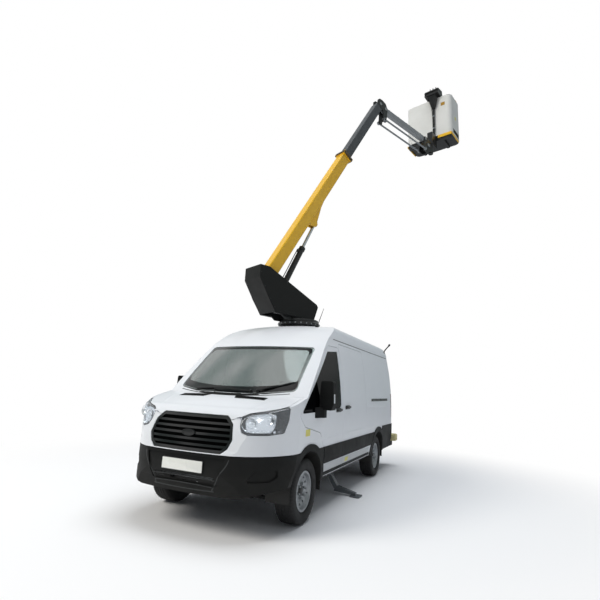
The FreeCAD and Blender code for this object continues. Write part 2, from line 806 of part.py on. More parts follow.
# Floor, firewall and rear wheel boxes
floorTop = mm(S.floor_level)
floorThick = mm(S.floor_thick)
cabin = hull(wall + seat, bodyBottom - 90)
firewall = mm(S.firewall_place)
wheelBoxes = [block(min(s * 690, s * wide), max(s * 690, s * wide), wheelbase - 480, wheelbase + 480,
                    floorTop - floorThick, 900) for s in (1, -1)]
wheelBoxRooms = [block(min(s * 715, s * wide), max(s * 715, s * wide), wheelbase - 455,
                       wheelbase + 455, 0, 875) for s in (1, -1)]
floorPan = block(-wide, wide, firewall, rearFace - wall - gap, floorTop - floorThick, floorTop)
floorPan = floorPan.multiFuse(wheelBoxes + [block(-wide, wide, firewall, firewall + 30,
                                                  floorTop - floorThick, 1330)])
frontWheelRooms = [block(min(s * 545, s * wide), max(s * 545, s * wide), -600, 462, 0, 850)
                   for s in (1, -1)]
frontWheelWalls = [block(min(s * 530, s * wide), max(s * 530, s * wide), firewall, 480, 540, 865)
                   for s in (1, -1)]
treadPlate = block(-mm(S.tread_half), mm(S.tread_half), towerPlace + 400, rearFace - 160, floorTop,
                   floorTop + mm(S.tread_thick))
floorPan = floorPan.multiFuse(frontWheelWalls + [treadPlate]).cut(Part.makeCompound(wheelBoxRooms + frontWheelRooms))
keep(shapePart("floor_pan", floorPan.common(cabin).removeSplitter()))

# Bulkhead between the cab and the load space
bulkheadPlace = mm(S.bulkhead_place)
keep(shapePart("bulkhead", cabin.common(block(-wide, wide, bulkheadPlace,
                                              bulkheadPlace + mm(S.bulkhead_thick),
                                              floorTop + seat, 3000))))

# Dashboard with the steering column and wheel
dashBack = firewall + 30 + seat
dashOutline = [(0, dashBack, 1330), (0, 120, 1300), (0, 330, 1215), (0, 360, 1130),
               (0, 250, 1060), (0, 220, 900), (0, dashBack, 900)]
dash = polygonFace([(-900, y, z) for _, y, z in dashOutline]).extrude(Vector(1800, 0, 0))
dash = dash.common(hull(wall + 12, bodyBottom))
wheelCentre = Vector(-430, 505, 1190)
wheelTilt = Vector(0, math.sin(math.radians(62)), math.cos(math.radians(62)))
steeringWheel = Part.makeTorus(190, 16, wheelCentre, wheelTilt)
hub = Part.makeCylinder(55, 40, wheelCentre - wheelTilt * 20, wheelTilt)
column = Part.makeCylinder(32, 330, wheelCentre - wheelTilt * 330, wheelTilt)
spokeSide = Part.makeCylinder(12, 380, wheelCentre - Vector(190, 0, 0), Vector(1, 0, 0))
down = wheelTilt.cross(Vector(1, 0, 0))
down = down if down.z < 0 else -down
spokeDown = Part.makeCylinder(12, 190, wheelCentre, down)
keep(shapePart("dashboard", dash.multiFuse([steeringWheel, hub, column, spokeSide, spokeDown])))

# Seats: driver's on the right, a bench for two on the left
for label, middle, width in (("driver_seat", -430, 480), ("passenger_seat", 330, 840)):
    seatBody = newBody(label)
    sketch = newSketch(seatBody, "YZ_Plane", middle)
    drawLoop(sketch, [(640, S.floor_level + S.seat_gap), (1080, S.floor_level + S.seat_gap),
                      (1080, 920), (1200, 1560), (1190, 1600), (1120, 1600), (1085, 1560),
                      (970, 1005), (680, 1030), (640, 1000)])
    pad(seatBody, sketch, width, Midplane=True)
    roundEdges(seatBody, 30, lambda edge: edge.BoundBox.XLength > 100 and edge.BoundBox.ZMin > 700)
    keep(seatBody)

# Chassis rails with crossmembers and the sleeves of the stabilisers
railLow = mm(S.rail_level) - mm(S.rail_high) / 2
railHigh = mm(S.rail_level) + mm(S.rail_high) / 2
railHalf = mm(S.rail_wide) / 2
spread = mm(S.rail_spread)
rails = [block(s * spread - railHalf, s * spread + railHalf, -700, 4380, railLow, railHigh)
         for s in (1, -1)]
crossPlaces = [-640, 420, 1480, 1720, 2500]
crosses = [block(-spread, spread, y, y + 60, railLow + 15, railHigh - 15) for y in crossPlaces]
towPlace = 4300
towBolts = [Part.makeCylinder(mm(S.tow_bolt) / 2, 300, Vector(x, towPlace + y, railLow - 50))
            for x in (-150, 150) for y in (-30, 30)]
crosses.append(block(-spread, spread, towPlace - 60, towPlace + 60, railLow + 15, railHigh - 15).cut(
    Part.makeCompound(towBolts)))
stabPlace = mm(S.stab_place)
slope = math.radians(mm(S.stab_slope))
legWay = Vector(math.cos(slope), 0, -math.sin(slope))
legSide = Vector(math.sin(slope), 0, math.cos(slope))
elbow = Vector(mm(S.stab_elbow_out), stabPlace, mm(S.stab_elbow_up))
legTop = elbow - legWay * mm(S.stab_leg_long)


def slanted(start, length, across, deep):
    """A square bar along the leg's slope; across is along the van, deep is square to both."""
    bar = Part.makeBox(length, across, deep, Vector(0, -across / 2, -deep / 2))
    turn = Placement(start, Rotation(Vector(0, 1, 0), mm(S.stab_slope)))
    bar.Placement = turn
    return bar


legWide = mm(S.stab_leg_wide)
legDeep = mm(S.stab_leg_deep)
sleeveTop = legTop - legWay * 215
sleeve = slanted(sleeveTop, 315, legWide + 24, legDeep + 24)
sleeveRoom = slanted(sleeveTop - legWay * 10, 400, legWide + 2 * seat, legDeep + 2 * seat)
hanger = block(spread, 720, stabPlace - legWide / 2 - 12, stabPlace + legWide / 2 + 12,
               railLow + 40, floorTop - floorThick - 8)
guide = sleeve.fuse(hanger).cut(sleeveRoom)
guide = guide.common(block(0, 2000, 0, 4000, 0, floorTop - floorThick - 8))
chassis = rails[0].multiFuse(rails[1:] + crosses + [guide, mirrored(guide)])
keep(shapePart("chassis_rails", chassis.removeSplitter()))

# Engine and radiator
keep(shapePart("engine_block", block(-290, 290, -640, -150, railHigh - 15 + seat, 1080)))
radiatorHalf = spread + railHalf / 2
keep(shapePart("radiator", block(-radiatorHalf, radiatorHalf, -760, -700 - seat, 500, 1120)))

# Front suspension and knuckles
track = mm(S.track)
kingpin = track / 2 - mm(S.kingpin_offset)
axleUp = tyreRadius
lowBall = axleUp - 124
cradle = block(-spread - railHalf, spread + railHalf, -90, 90, 300, railLow)
brackets = [block(min(s * 330, s * 390), max(s * 330, s * 390), -190, 190, 236, 330) for s in (1, -1)]
forks = []
for s in (1, -1):
    elbowPoint = (s * (kingpin - 170), 0, lowBall - 26)
    forks.append(rod((s * kingpin, 0, lowBall - 30), elbowPoint, 22))
    forks += [rod(elbowPoint, (s * 360, y, 270), 22) for y in (-150, 150)]
    forks.append(Part.makeSphere(22, Vector(*elbowPoint)))
ballPins = [Part.makeCylinder(22, 36 - seat, Vector(s * kingpin, 0, lowBall - 36)) for s in (1, -1)]
strutPlace = kingpin - 215
struts = [rod((s * strutPlace, 0, 500), (s * (strutPlace - 6), 40, 850 - seat), 36) for s in (1, -1)]
strutFeet = [block(min(s * spread, s * strutPlace), max(s * spread, s * strutPlace), -30, 30, 480, 535)
             for s in (1, -1)]
suspension = cradle.multiFuse(brackets + forks + ballPins + struts + strutFeet)
suspension = suspension.cut(Part.makeCompound(rails)).common(block(-wide, wide, -600, 600, 100, 850 - seat))
keep(shapePart("front_suspension", suspension))

hubFace = 40
for side, name in ((1, "left"), (-1, "right")):
    centre = side * track / 2
    disc = rod((centre - side * 30, 0, axleUp), (centre - side * 4, 0, axleUp), 150)
    bearing = rod((kingpin * side, 0, axleUp), (centre + side * (hubFace - 8 - seat), 0, axleUp), 60)
    upright = block(min(side * (kingpin - 30), side * (kingpin + 30)),
                    max(side * (kingpin - 30), side * (kingpin + 30)), -45, 45,
                    lowBall, axleUp + 140)
    caliper = block(min(side * (kingpin + 8), centre), max(side * (kingpin + 8), centre), 90, 150,
                    axleUp - 62, axleUp + 62)
    keep(shapePart(f"knuckle_{name}", disc.multiFuse([bearing, upright, caliper])))

# Wheels: one tyre and one rim each, built about their own axle along X
def facetedRing(half, sides):
    """A ring about X of flat facets, from half of its profile as (x, radius) points."""
    profile = half + [(-x, r) for x, r in reversed(half)]
    turn = 2 * math.pi / sides
    grow = 1 / math.cos(turn / 2)

    def corner(point, step):
        x, radius = point
        angle = (step + 0.5) * turn
        return (x, radius * grow * math.sin(angle), -radius * grow * math.cos(angle))
    facets = []
    for start, end in zip(profile, profile[1:] + profile[:1]):
        for step in range(sides):
            facets.append(polygonFace([corner(start, step), corner(end, step),
                                       corner(end, step + 1), corner(start, step + 1)]))
    return Part.Solid(Part.makeShell(facets))


halfTyre = mm(S.tyre_width) / 2
rimRadius = mm(S.rim_radius)
rimLip = mm(S.rim_lip)
bead = mm(S.bead_half)
tyreSides = 48
tyreHalf = [(bead, rimRadius + seat), (bead, rimLip + seat), (halfTyre * 0.96, rimLip + 25),
            (halfTyre, rimLip + 65), (halfTyre * 0.93, tyreRadius - 26),
            (halfTyre * 0.72, tyreRadius)]
tyreShape = facetedRing(tyreHalf, tyreSides)
wheelPlaces = [("front_left", 1, 0), ("front_right", -1, 0),
               ("rear_left", 1, wheelbase), ("rear_right", -1, wheelbase)]
for name, side, along in wheelPlaces:
    spot = Placement(Vector(side * track / 2, along, tyreRadius),
                     Rotation(Vector(0, 0, 1), 0 if side > 0 else 180))
    keep(shapePart(f"tyre_{name}", tyreShape, spot))

    rim = newBody(f"rim_{name}")
    sketch = newSketch(rim, "XZ_Plane")
    inner = S.rim_radius - 14
    drawLoop(sketch, [(S.bead_half + S.seat_gap, S.rim_radius), (S.bead_half + S.seat_gap, S.rim_lip),
                      (S.bead_half + 10, S.rim_lip), (S.bead_half + 10, inner + 4),
                      (62, inner - 12), (44, 122), (52, 92), (52, 62), (40, 62), (40, 20),
                      (32, 20), (32, 122), (48, 170), (-S.bead_half - 10, inner),
                      (-S.bead_half - 10, S.rim_lip), (-S.bead_half - S.seat_gap, S.rim_lip),
                      (-S.bead_half - S.seat_gap, S.rim_radius)])
    turned(rim, sketch)
    sketch = newSketch(rim, "YZ_Plane", S.bead_half)
    for index in range(12):
        angle = math.radians(30 * index)
        drawCircle(sketch, (S.slot_circle * math.cos(angle), S.slot_circle * math.sin(angle)),
                   S.slot_radius)
    pocket(rim, sketch, S.bead_half)
    keep(place(rim, spot))

# Rear axle with its springs and brakes
beam = rod((-track / 2 + 60, wheelbase, axleUp), (track / 2 - 60, wheelbase, axleUp), 50)
casingOutline = [(-170, 0), (-170, 64), (-62, 138), (62, 138), (170, 64), (170, 0)]
casing = polygonFace([(x, wheelbase, axleUp + r) for x, r in casingOutline])
casing = casing.revolve(Vector(0, wheelbase, axleUp), Vector(1, 0, 0), 360)
drums = [rod((s * (track / 2 - 100), wheelbase, axleUp), (s * (track / 2 - 10), wheelbase, axleUp), 140)
         for s in (1, -1)]
stubs = [rod((s * (track / 2 - 20), wheelbase, axleUp), (s * (track / 2 + hubFace - 8.3), wheelbase, axleUp), 60)
         for s in (1, -1)]
springs = []
for s in (1, -1):
    x = s * 560
    leaf = [Part.Arc(Vector(x - 35, wheelbase - 620, 430 + d), Vector(x - 35, wheelbase, 292 + d),
                     Vector(x - 35, wheelbase + 620, 430 + d)).toShape() for d in (0, 40)]
    ends = [line((x - 35, wheelbase - 620, 430), (x - 35, wheelbase - 620, 470)),
            line((x - 35, wheelbase + 620, 430), (x - 35, wheelbase + 620, 470))]
    springs.append(faceOf(leaf + ends).extrude(Vector(70, 0, 0)))
    for y in (wheelbase - 620, wheelbase + 620):
        springs.append(rod((s * (spread + railHalf - 5), y, 452), (x + s * 40, y, 452), 28))
axle = beam.multiFuse([casing] + drums + stubs + springs).cut(Part.makeCompound(rails))
keep(shapePart("rear_axle", axle))

# Fuel tank under the floor
tank = block(-900, -540, 700, 1480, 330, floorTop - floorThick - seat)
keep(shapePart("fuel_tank", tank))

# Rear bumper with step
bumperBack = rearFace + seat
stepDeep = mm(S.step_deep)
stepHalf = mm(S.step_half)
bumperOutline = [(bumperBack, 410), (rearFace + stepDeep - 10, 410), (rearFace + stepDeep, 430),
                 (rearFace + stepDeep, 560), (rearFace + stepDeep - 14, 575),
                 (rearFace + 110, 575), (rearFace + 90, 590), (bumperBack, 640)]
stepBar = polygonFace([(-stepHalf, y, z) for y, z in bumperOutline]).extrude(
    Vector(2 * stepHalf, 0, 0))
keep(shapePart("rear_bumper", stepBar))

# Tower through the load space, with the fixed ring seat on the roof
ringRadius = mm(S.ring_radius)
ringBase = mm(S.ring_base)
ringTop = mm(S.ring_top)
towerHalf = mm(S.tower_width) / 2
column = block(-towerHalf, towerHalf, towerPlace - towerHalf, towerPlace + towerHalf,
               floorTop + seat, roofTop - 80)
columnRoom = block(-towerHalf + 10, towerHalf - 10, towerPlace - towerHalf + 10,
                   towerPlace + towerHalf - 10, floorTop + 20, roofTop - 95)
doorCuts = [block(-towerHalf - 5, towerHalf + 5, towerPlace - 120, towerPlace + 120, z, z + 420)
            for z in (760, 1280, 1800)]
basePlate = block(-420, 420, towerPlace - 340, towerPlace + 340, floorTop + seat, floorTop + 20)
neck = Part.makeCylinder(ringRadius - 75, ringBase - roofTop + 85, Vector(0, towerPlace, roofTop - 85))
ringSeat = Part.makeCylinder(ringRadius, ringTop - ringBase, Vector(0, towerPlace, ringBase))
ringSeat = ringSeat.makeChamfer(14, [e for e in ringSeat.Edges if e.Length > 2000])
spigot = Part.makeCylinder(mm(S.slew_spigot), mm(S.turn_gap) + 36, Vector(0, towerPlace, ringTop))
tower = column.cut(columnRoom).cut(Part.makeCompound(doorCuts))
keep(shapePart("tower", tower.multiFuse([basePlate, neck, ringSeat, spigot])))

# Frame of the turret: +X along the boom's heading, origin on the slewing axis
turretSpot = Placement(Vector(0, towerPlace, 0), Rotation(Vector(0, 0, 1), 90 - mm(S.boom_azimuth)))
turnBase = ringTop + mm(S.turn_gap)
footPin = Vector(mm(S.foot_along), 0, mm(S.foot_level))
ramPin = Vector(mm(S.ram_foot_along), 0, mm(S.ram_foot_level))
pinRadius = mm(S.pin_radius)
plate = mm(S.turret_plate)
turretHalf = mm(S.turret_half)


def uprightPlate(points, middle, thick, holes=()):
    """A plate in the plane of the boom, from its outline as (along, up) points."""
    face = polygonFace([(x, middle - thick / 2, z) for x, z in points])
    solid = face.extrude(Vector(0, thick, 0))
    for x, z, radius in holes:
        solid = solid.cut(Part.makeCylinder(radius, 4 * thick, Vector(x, middle - 2 * thick, z),
                                            Vector(0, 1, 0)))
    return solid


def crossPin(x, z, radius, half):
    return Part.makeCylinder(radius, 2 * half, Vector(x, -half, z), Vector(0, 1, 0))


cheekOutline = [(-870, 3170), (-870, 3310), (-820, 3345), (-740, 3345), (-640, 3240), (180, 2790),
                (200, turnBase), (-430, turnBase), (-620, 2760)]
turretPlates = [uprightPlate(cheekOutline, side * (turretHalf - plate / 2), plate)
                for side in (1, -1)]
turnTable = Part.makeCylinder(ringRadius - 30, 40, Vector(0, 0, turnBase))
footShaft = crossPin(footPin.x, footPin.z, pinRadius, turretHalf)
ramShaft = crossPin(ramPin.x, ramPin.z, pinRadius, turretHalf)
coverHalf = mm(S.cover_half)
coverSkin = mm(S.cover_skin)
stubReach = coverHalf - coverSkin - seat
stubs = [rod((x, side * (turretHalf - plate), z), (x, side * stubReach, z), 14)
         for side in (1, -1) for x, z in ((-820, 3250), (-540, 2900), (80, 2740))]
spigotHole = Part.makeCylinder(mm(S.slew_spigot) + seat, 200, Vector(0, 0, turnBase - 50))
keep(shapePart("turret_frame", turnTable.cut(spigotHole).multiFuse(
    turretPlates + [footShaft, ramShaft] + stubs), turretSpot))

# Turret cover: a folded sheet housing, open on top for the boom
coverOutline = [(-1030, 3190), (-1030, 3400), (-850, 3400), (205, 2945), (238, 2900),
                (150, turnBase + 44), (-680, turnBase + 60), (-870, 2940)]
coverForm = polygonFace([(x, -coverHalf, z) for x, z in coverOutline]).extrude(
    Vector(0, 2 * coverHalf, 0))
coverInner = Part.Face(polygonFace([(x, 0, z) for x, z in coverOutline]).OuterWire.makeOffset2D(
    -coverSkin, 2))
coverInner.translate(Vector(0, -coverHalf + coverSkin, 0))
coverInner = coverInner.extrude(Vector(0, 2 * (coverHalf - coverSkin), 0))
slotHalf = mm(S.outer_wide) / 2 + 35
slotOutline = [(-1030 + coverSkin, 3215), (-1030 + coverSkin, 3600), (-100, 3600), (-100, 2950),
               (-600, 2950), (-830, 3215)]
boomSlot = polygonFace([(x, -slotHalf, z) for x, z in slotOutline]).extrude(
    Vector(0, 2 * slotHalf, 0))
ramSlot = block(-500, 400, -75, 75, 2912, 3600)
turnHole = Part.makeCylinder(ringRadius - 20, 400, Vector(0, 0, turnBase - 100))
plateRoom = block(-700, 260, -turretHalf - 1, turretHalf + 1, turnBase - 50, turnBase + 75)
keep(shapePart("turret_cover", coverForm.cut(coverInner).cut(boomSlot).cut(ramSlot).cut(turnHole).cut(plateRoom),
               turretSpot))

# Boom frame: +X along the boom, origin on its foot pin
liftAngle = mm(S.boom_lift_angle)
boomSpot = turretSpot.multiply(Placement(footPin, Rotation(Vector(0, 1, 0), -liftAngle)))


def boxTube(body, start, length, high, across, thick, radius):
    """A rolled box section along X, hollow and open at both ends."""
    sketch = newSketch(body, "YZ_Plane", start)
    drawBox(sketch, -across / 2, across / 2, -high / 2, high / 2)
    pad(body, sketch, length)
    roundEdges(body, radius, lambda edge: runsAlong(edge, 0))
    sketch = newSketch(body, "YZ_Plane", start)
    drawBox(sketch, -across / 2 + thick, across / 2 - thick, -high / 2 + thick, high / 2 - thick)
    pocket(body, sketch, length)


def besidePlates(body, points, half, thick):
    """Two equal plates in the plane of the boom, at both sides of its middle."""
    for side in (1, -1):
        sketch = newSketch(body, "XZ_Plane", side * (half + thick / 2))
        drawLoop(sketch, points)
        pad(body, sketch, thick, Midplane=True)


outer = newBody("boom_outer")
boxTube(outer, -S.outer_back, S.outer_length + S.outer_back, S.outer_high, S.outer_wide,
        S.outer_wall, 24)
# collar at the mouth, with the wear pads that the inner boom slides in
sketch = newSketch(outer, "YZ_Plane", S.outer_length - S.collar_long)
drawBox(sketch, -S.outer_wide / 2 - S.collar_grow, S.outer_wide / 2 + S.collar_grow,
        -S.outer_high / 2 - S.collar_grow, S.outer_high / 2 + S.collar_grow)
pad(outer, sketch, S.collar_long)
sketch = newSketch(outer, "YZ_Plane", S.outer_length - S.collar_long)
drawBox(sketch, -S.inner_wide / 2 - S.slide_gap, S.inner_wide / 2 + S.slide_gap,
        -S.inner_high / 2 - S.slide_gap, S.inner_high / 2 + S.slide_gap)
pocket(outer, sketch, S.collar_long)
# bush of the foot pin
sketch = newSketch(outer, "XZ_Plane")
drawCircle(sketch, (0, 0), S.pin_radius + 26)
pad(outer, sketch, (S.turret_half - S.turret_plate) * 2 - 4, Midplane=True)
sketch = newSketch(outer, "XZ_Plane")
drawCircle(sketch, (0, 0), S.pin_radius + S.pin_gap)
pocket(outer, sketch, S.turret_half * 4, Midplane=True)
# lugs that the lift cylinder pushes on
besidePlates(outer, [(S.lug_along - 130, -S.outer_high / 2 + 4), (S.lug_along - 60, -S.lug_drop - 6),
                     (S.lug_along - 20, -S.lug_drop - 38), (S.lug_along + 24, -S.lug_drop - 36),
                     (S.lug_along + 70, -S.lug_drop + 4), (S.lug_along + 390, -S.outer_high / 2 - 34),
                     (S.lug_along + 670, -S.outer_high / 2 + 4)], S.lug_half, S.lug_plate)
keep(place(outer, boomSpot))

inner = newBody("boom_inner")
boxTube(inner, S.inner_start, S.inner_end - S.inner_start, S.inner_high, S.inner_wide,
        S.inner_wall, 14)
# rear wear pads
sketch = newSketch(inner, "YZ_Plane", S.inner_start)
drawBox(sketch, -S.outer_wide / 2 + S.outer_wall + S.slide_gap,
        S.outer_wide / 2 - S.outer_wall - S.slide_gap,
        -S.outer_high / 2 + S.outer_wall + S.slide_gap,
        S.outer_high / 2 - S.outer_wall - S.slide_gap)
drawBox(sketch, -S.inner_wide / 2 + S.inner_wall, S.inner_wide / 2 - S.inner_wall,
        -S.inner_high / 2 + S.inner_wall, S.inner_high / 2 - S.inner_wall)
pad(inner, sketch, 80)
# nose block with the head pin's bore
sketch = newSketch(inner, "XZ_Plane")
drawLoop(sketch, [(S.inner_end - 30, -S.inner_high / 2 + 2), (S.inner_end + 20, -S.inner_high / 2 + 10),
                  (S.head_along + 20, -58), (S.head_along + 56, -24), (S.head_along + 56, 24),
                  (S.head_along + 20, 58), (S.inner_end + 20, S.inner_high / 2 - 10),
                  (S.inner_end - 30, S.inner_high / 2 - 2)])
pad(inner, sketch, S.nose_half * 2, Midplane=True)
sketch = newSketch(inner, "XZ_Plane")
drawCircle(sketch, (S.head_along, 0), S.pin_radius + S.pin_gap)
pocket(inner, sketch, S.nose_half * 4, Midplane=True)
keep(place(inner, boomSpot))

# Boom head: two cheeks that stay level and carry the jib
headSpot = boomSpot.multiply(Placement(Vector(mm(S.head_along), 0, 0),
                                       Rotation(Vector(0, 1, 0), liftAngle)))
cheekInner = S.nose_half + S.cheek_gap
head = newBody("boom_head")
besidePlates(head, [(-75, -78), (-108, -20), (-100, 60), (-40, 118), (60, 128), (180, 96),
                    (S.jib_pin_ahead + 62, S.jib_pin_drop * -1 + 40),
                    (S.jib_pin_ahead + 62, S.jib_pin_drop * -1 - 45),
                    (S.jib_pin_ahead + 20, -S.jib_pin_drop - S.jib_rod_drop - 20),
                    (S.jib_pin_ahead - S.jib_rod_back + 10, -S.jib_pin_drop - S.jib_rod_drop - 50),
                    (S.jib_pin_ahead - S.jib_rod_back - 36, -S.jib_pin_drop - S.jib_rod_drop - 20),
                    (104, -190), (60, -106)], cheekInner, S.cheek_plate)
pinSpots = [(link(0), link(0), cheekInner + S.cheek_plate),
            (S.jib_pin_ahead, -S.jib_pin_drop, cheekInner + S.cheek_plate),
            (S.jib_pin_ahead - S.jib_rod_back, -S.jib_pin_drop - S.jib_rod_drop,
             S.jib_rod_half + S.jib_rod_radius)]
for pinX, pinZ, half in pinSpots:
    sketch = newSketch(head, "XZ_Plane")
    drawCircle(sketch, (pinX, pinZ), S.pin_radius)
    pad(head, sketch, half * 2, Midplane=True)
keep(place(head, headSpot))

# Jib: an upper beam and two rods below that keep the basket level
jibSpot = headSpot.multiply(Placement(Vector(mm(S.jib_pin_ahead), 0, -mm(S.jib_pin_drop)), Rotation()))
beam = newBody("jib_beam")
sketch = newSketch(beam, "XZ_Plane")
drawLoop(sketch, [(-42, -40), (-42, 40), (60, S.jib_high / 2), (S.jib_long - 60, S.jib_high / 2),
                  (S.jib_long + 42, 40), (S.jib_long + 42, -40), (S.jib_long - 60, -S.jib_high / 2),
                  (60, -S.jib_high / 2)])
pad(beam, sketch, S.jib_half * 2, Midplane=True)
sketch = newSketch(beam, "XZ_Plane")
drawCircle(sketch, (0, 0), S.pin_radius + S.pin_gap)
drawCircle(sketch, (S.jib_long, 0), S.pin_radius + S.pin_gap)
pocket(beam, sketch, S.jib_half * 4, Midplane=True)
keep(place(beam, jibSpot))

rodSpot = jibSpot.multiply(Placement(Vector(-mm(S.jib_rod_back), 0, -mm(S.jib_rod_drop)), Rotation()))
jibRodHalf = mm(S.jib_rod_half)
jibRodRadius = mm(S.jib_rod_radius)
jibLong = mm(S.jib_long)
rodShapes = []
for side in (1, -1):
    bar = rod((30, side * jibRodHalf, 0), (jibLong - 30, side * jibRodHalf, 0), jibRodRadius)
    eyes = [Part.makeCylinder(pinRadius + 16, 2 * jibRodRadius - 8,
                              Vector(x, side * jibRodHalf - jibRodRadius + 4, 0), Vector(0, 1, 0))
            for x in (0, jibLong)]
    bores = [Part.makeCylinder(pinRadius + seat, 200, Vector(x, side * jibRodHalf - 100, 0),
                               Vector(0, 1, 0)) for x in (0, jibLong)]
    rodShapes.append(bar.multiFuse(eyes).cut(Part.makeCompound(bores)))
keep(shapePart("jib_rods", Part.makeCompound(rodShapes), rodSpot))

# Basket bracket at the jib's end, with the upright post that the basket turns on
bracketSpot = jibSpot.multiply(Placement(Vector(jibLong, 0, 0), Rotation()))
postAhead = mm(S.basket_post_ahead)
cheekHalf = mm(S.nose_half) + mm(S.cheek_gap)
cheekPlate = mm(S.cheek_plate)
rodBack = mm(S.jib_rod_back)
rodDrop = mm(S.jib_rod_drop)
bracketOutline = [(-rodBack - 40, -rodDrop - 42), (-rodBack - 44, -rodDrop + 40), (-52, -30),
                  (-52, 40), (-20, 60), (60, 60), (postAhead - 60, -20), (postAhead - 60, -250),
                  (60, -rodDrop - 60)]
bracketPlates = [uprightPlate(bracketOutline, side * (cheekHalf + cheekPlate / 2), cheekPlate)
                 for side in (1, -1)]
bracketPins = [crossPin(0, 0, pinRadius, cheekHalf + cheekPlate)]
bracketPins += [rod((-rodBack, side * cheekHalf, -rodDrop),
                    (-rodBack, side * (jibRodHalf + jibRodRadius), -rodDrop), pinRadius)
                for side in (1, -1)]
postTube = Part.makeCylinder(62, 270, Vector(postAhead, 0, -270))
postSpigot = Part.makeCylinder(mm(S.post_spigot), mm(S.turn_gap) + 56, Vector(postAhead, 0, 0))
postLink = block(postAhead - 120, postAhead, -cheekHalf - cheekPlate, cheekHalf + cheekPlate, -240, -40)
keep(shapePart("basket_bracket", bracketPlates[0].multiFuse(
    bracketPlates[1:] + bracketPins + [postTube, postLink, postSpigot]), bracketSpot))

# Basket frame: origin on the post's axis at ground level of the basket's base
postPoint = bracketSpot.multVec(Vector(postAhead, 0, 0))
basketBase = mm(S.basket_base)
basketSpot = Placement(Vector(postPoint.x, postPoint.y, basketBase),
                       Rotation(Vector(0, 0, 1), 90 - mm(S.boom_azimuth) - mm(S.basket_turn)))
front = mm(S.basket_front)
deep = mm(S.basket_deep)
halfBasket = mm(S.basket_wide) / 2
topOfPost = postPoint.z - basketBase
carrierPlate = Part.makeCylinder(80, 60, Vector(0, 0, topOfPost + mm(S.turn_gap)))
carrierArm = block(-40, front + 60, -70, 70, topOfPost + mm(S.turn_gap), -seat - 0.2)
sideways = mm(S.basket_sideways)
beamDeep = 150
rearBeam = block(front + 20, front + 90, sideways - halfBasket + 60, sideways + halfBasket - 60,
                 -beamDeep, -seat)
basketForks = [block(front + 20, front + deep - 80, sideways + y - 35, sideways + y + 35,
                     -beamDeep + 60, -seat) for y in (-330, 330)]
postBore = Part.makeCylinder(mm(S.post_spigot) + seat, 600, Vector(0, 0, topOfPost - 20))
carrier = carrierPlate.multiFuse([carrierArm, rearBeam] + basketForks).cut(postBore)
keep(shapePart("basket_carrier", carrier, basketSpot))

tub = newBody("basket_tub")
sketch = newSketch(tub, "XY_Plane")
drawRoundedBox(sketch, S.basket_front, S.basket_front + S.basket_deep,
               S.basket_sideways - S.basket_wide / 2, S.basket_sideways + S.basket_wide / 2,
               S.basket_corner)
pad(tub, sketch, S.basket_high)
sketch = newSketch(tub, "XY_Plane", S.basket_high)
inset = S.basket_wall
drawRoundedBox(sketch, S.basket_front + inset, S.basket_front + S.basket_deep - inset,
               S.basket_sideways - S.basket_wide / 2 + inset,
               S.basket_sideways + S.basket_wide / 2 - inset, S.basket_corner - inset)
pocket(tub, sketch, S.basket_high - S.basket_floor)
keep(place(tub, basketSpot))

# Control console on its stalk, outside the rim
consolePlace = -40
highBasket = mm(S.basket_high)
consoleOutline = [(front - 200, highBasket + 20), (front - 175, highBasket + 175),
                  (front + 110, highBasket + 235), (front + 130, highBasket + 120),
                  (front + 120, highBasket + 20)]
console = polygonFace([(x, consolePlace - 190, z) for x, z in consoleOutline]).extrude(
    Vector(0, 380, 0))
def consoleRing(level, back, half):
    corners = [(front - back, consolePlace - half), (front - 20, consolePlace - half),
               (front - 20, consolePlace + half), (front - back, consolePlace + half)]
    return Part.makePolygon([Vector(x, y, level) for x, y in corners + corners[:1]])


hood = Part.makeLoft([consoleRing(highBasket + 20, 170, 120),
                      consoleRing(highBasket - 330, 80, 40)], True)
stalk = block(front - 62, front - 22, consolePlace - 22, consolePlace + 22, 0.0, highBasket - 300)
stalkFoot = block(front - 62, front - seat, consolePlace - 22, consolePlace + 22, 0, 60)
keep(shapePart("control_console", console.multiFuse([hood, stalk, stalkFoot]), basketSpot))

# Lift cylinder: barrel on the turret, rod towards the boom's lug
lugWorld = boomSpot.multVec(Vector(mm(S.lug_along), 0, -mm(S.lug_drop)))
lugPoint = turretSpot.inverse().multVec(lugWorld)
ramVector = lugPoint - ramPin
ramAngle = math.degrees(math.atan2(ramVector.z, ramVector.x))
ramSpot = turretSpot.multiply(Placement(ramPin, Rotation(Vector(0, 1, 0), -ramAngle)))
ramLong = ramVector.Length

barrel = newBody("lift_barrel")
sketch = newSketch(barrel, "XZ_Plane")
barrelStart = S.pin_radius + 12
drawLoop(sketch, [(barrelStart, 0), (barrelStart, S.ram_radius), (S.ram_barrel_long - 60, S.ram_radius),
                  (S.ram_barrel_long - 60, S.ram_radius + 6), (S.ram_barrel_long, S.ram_radius + 6),
                  (S.ram_barrel_long, 0)])
turned(barrel, sketch)
sketch = newSketch(barrel, "XZ_Plane")
drawCircle(sketch, (0, 0), S.pin_radius + 28)
pad(barrel, sketch, 90, Midplane=True)
sketch = newSketch(barrel, "XZ_Plane")
drawCircle(sketch, (0, 0), S.pin_radius + S.pin_gap)
pocket(barrel, sketch, 400, Midplane=True)
sketch = newSketch(barrel, "YZ_Plane", S.ram_barrel_long)
drawCircle(sketch, (0, 0), S.rod_radius + S.pin_gap)
pocket(barrel, sketch, S.ram_barrel_long - 90)
keep(place(barrel, ramSpot))

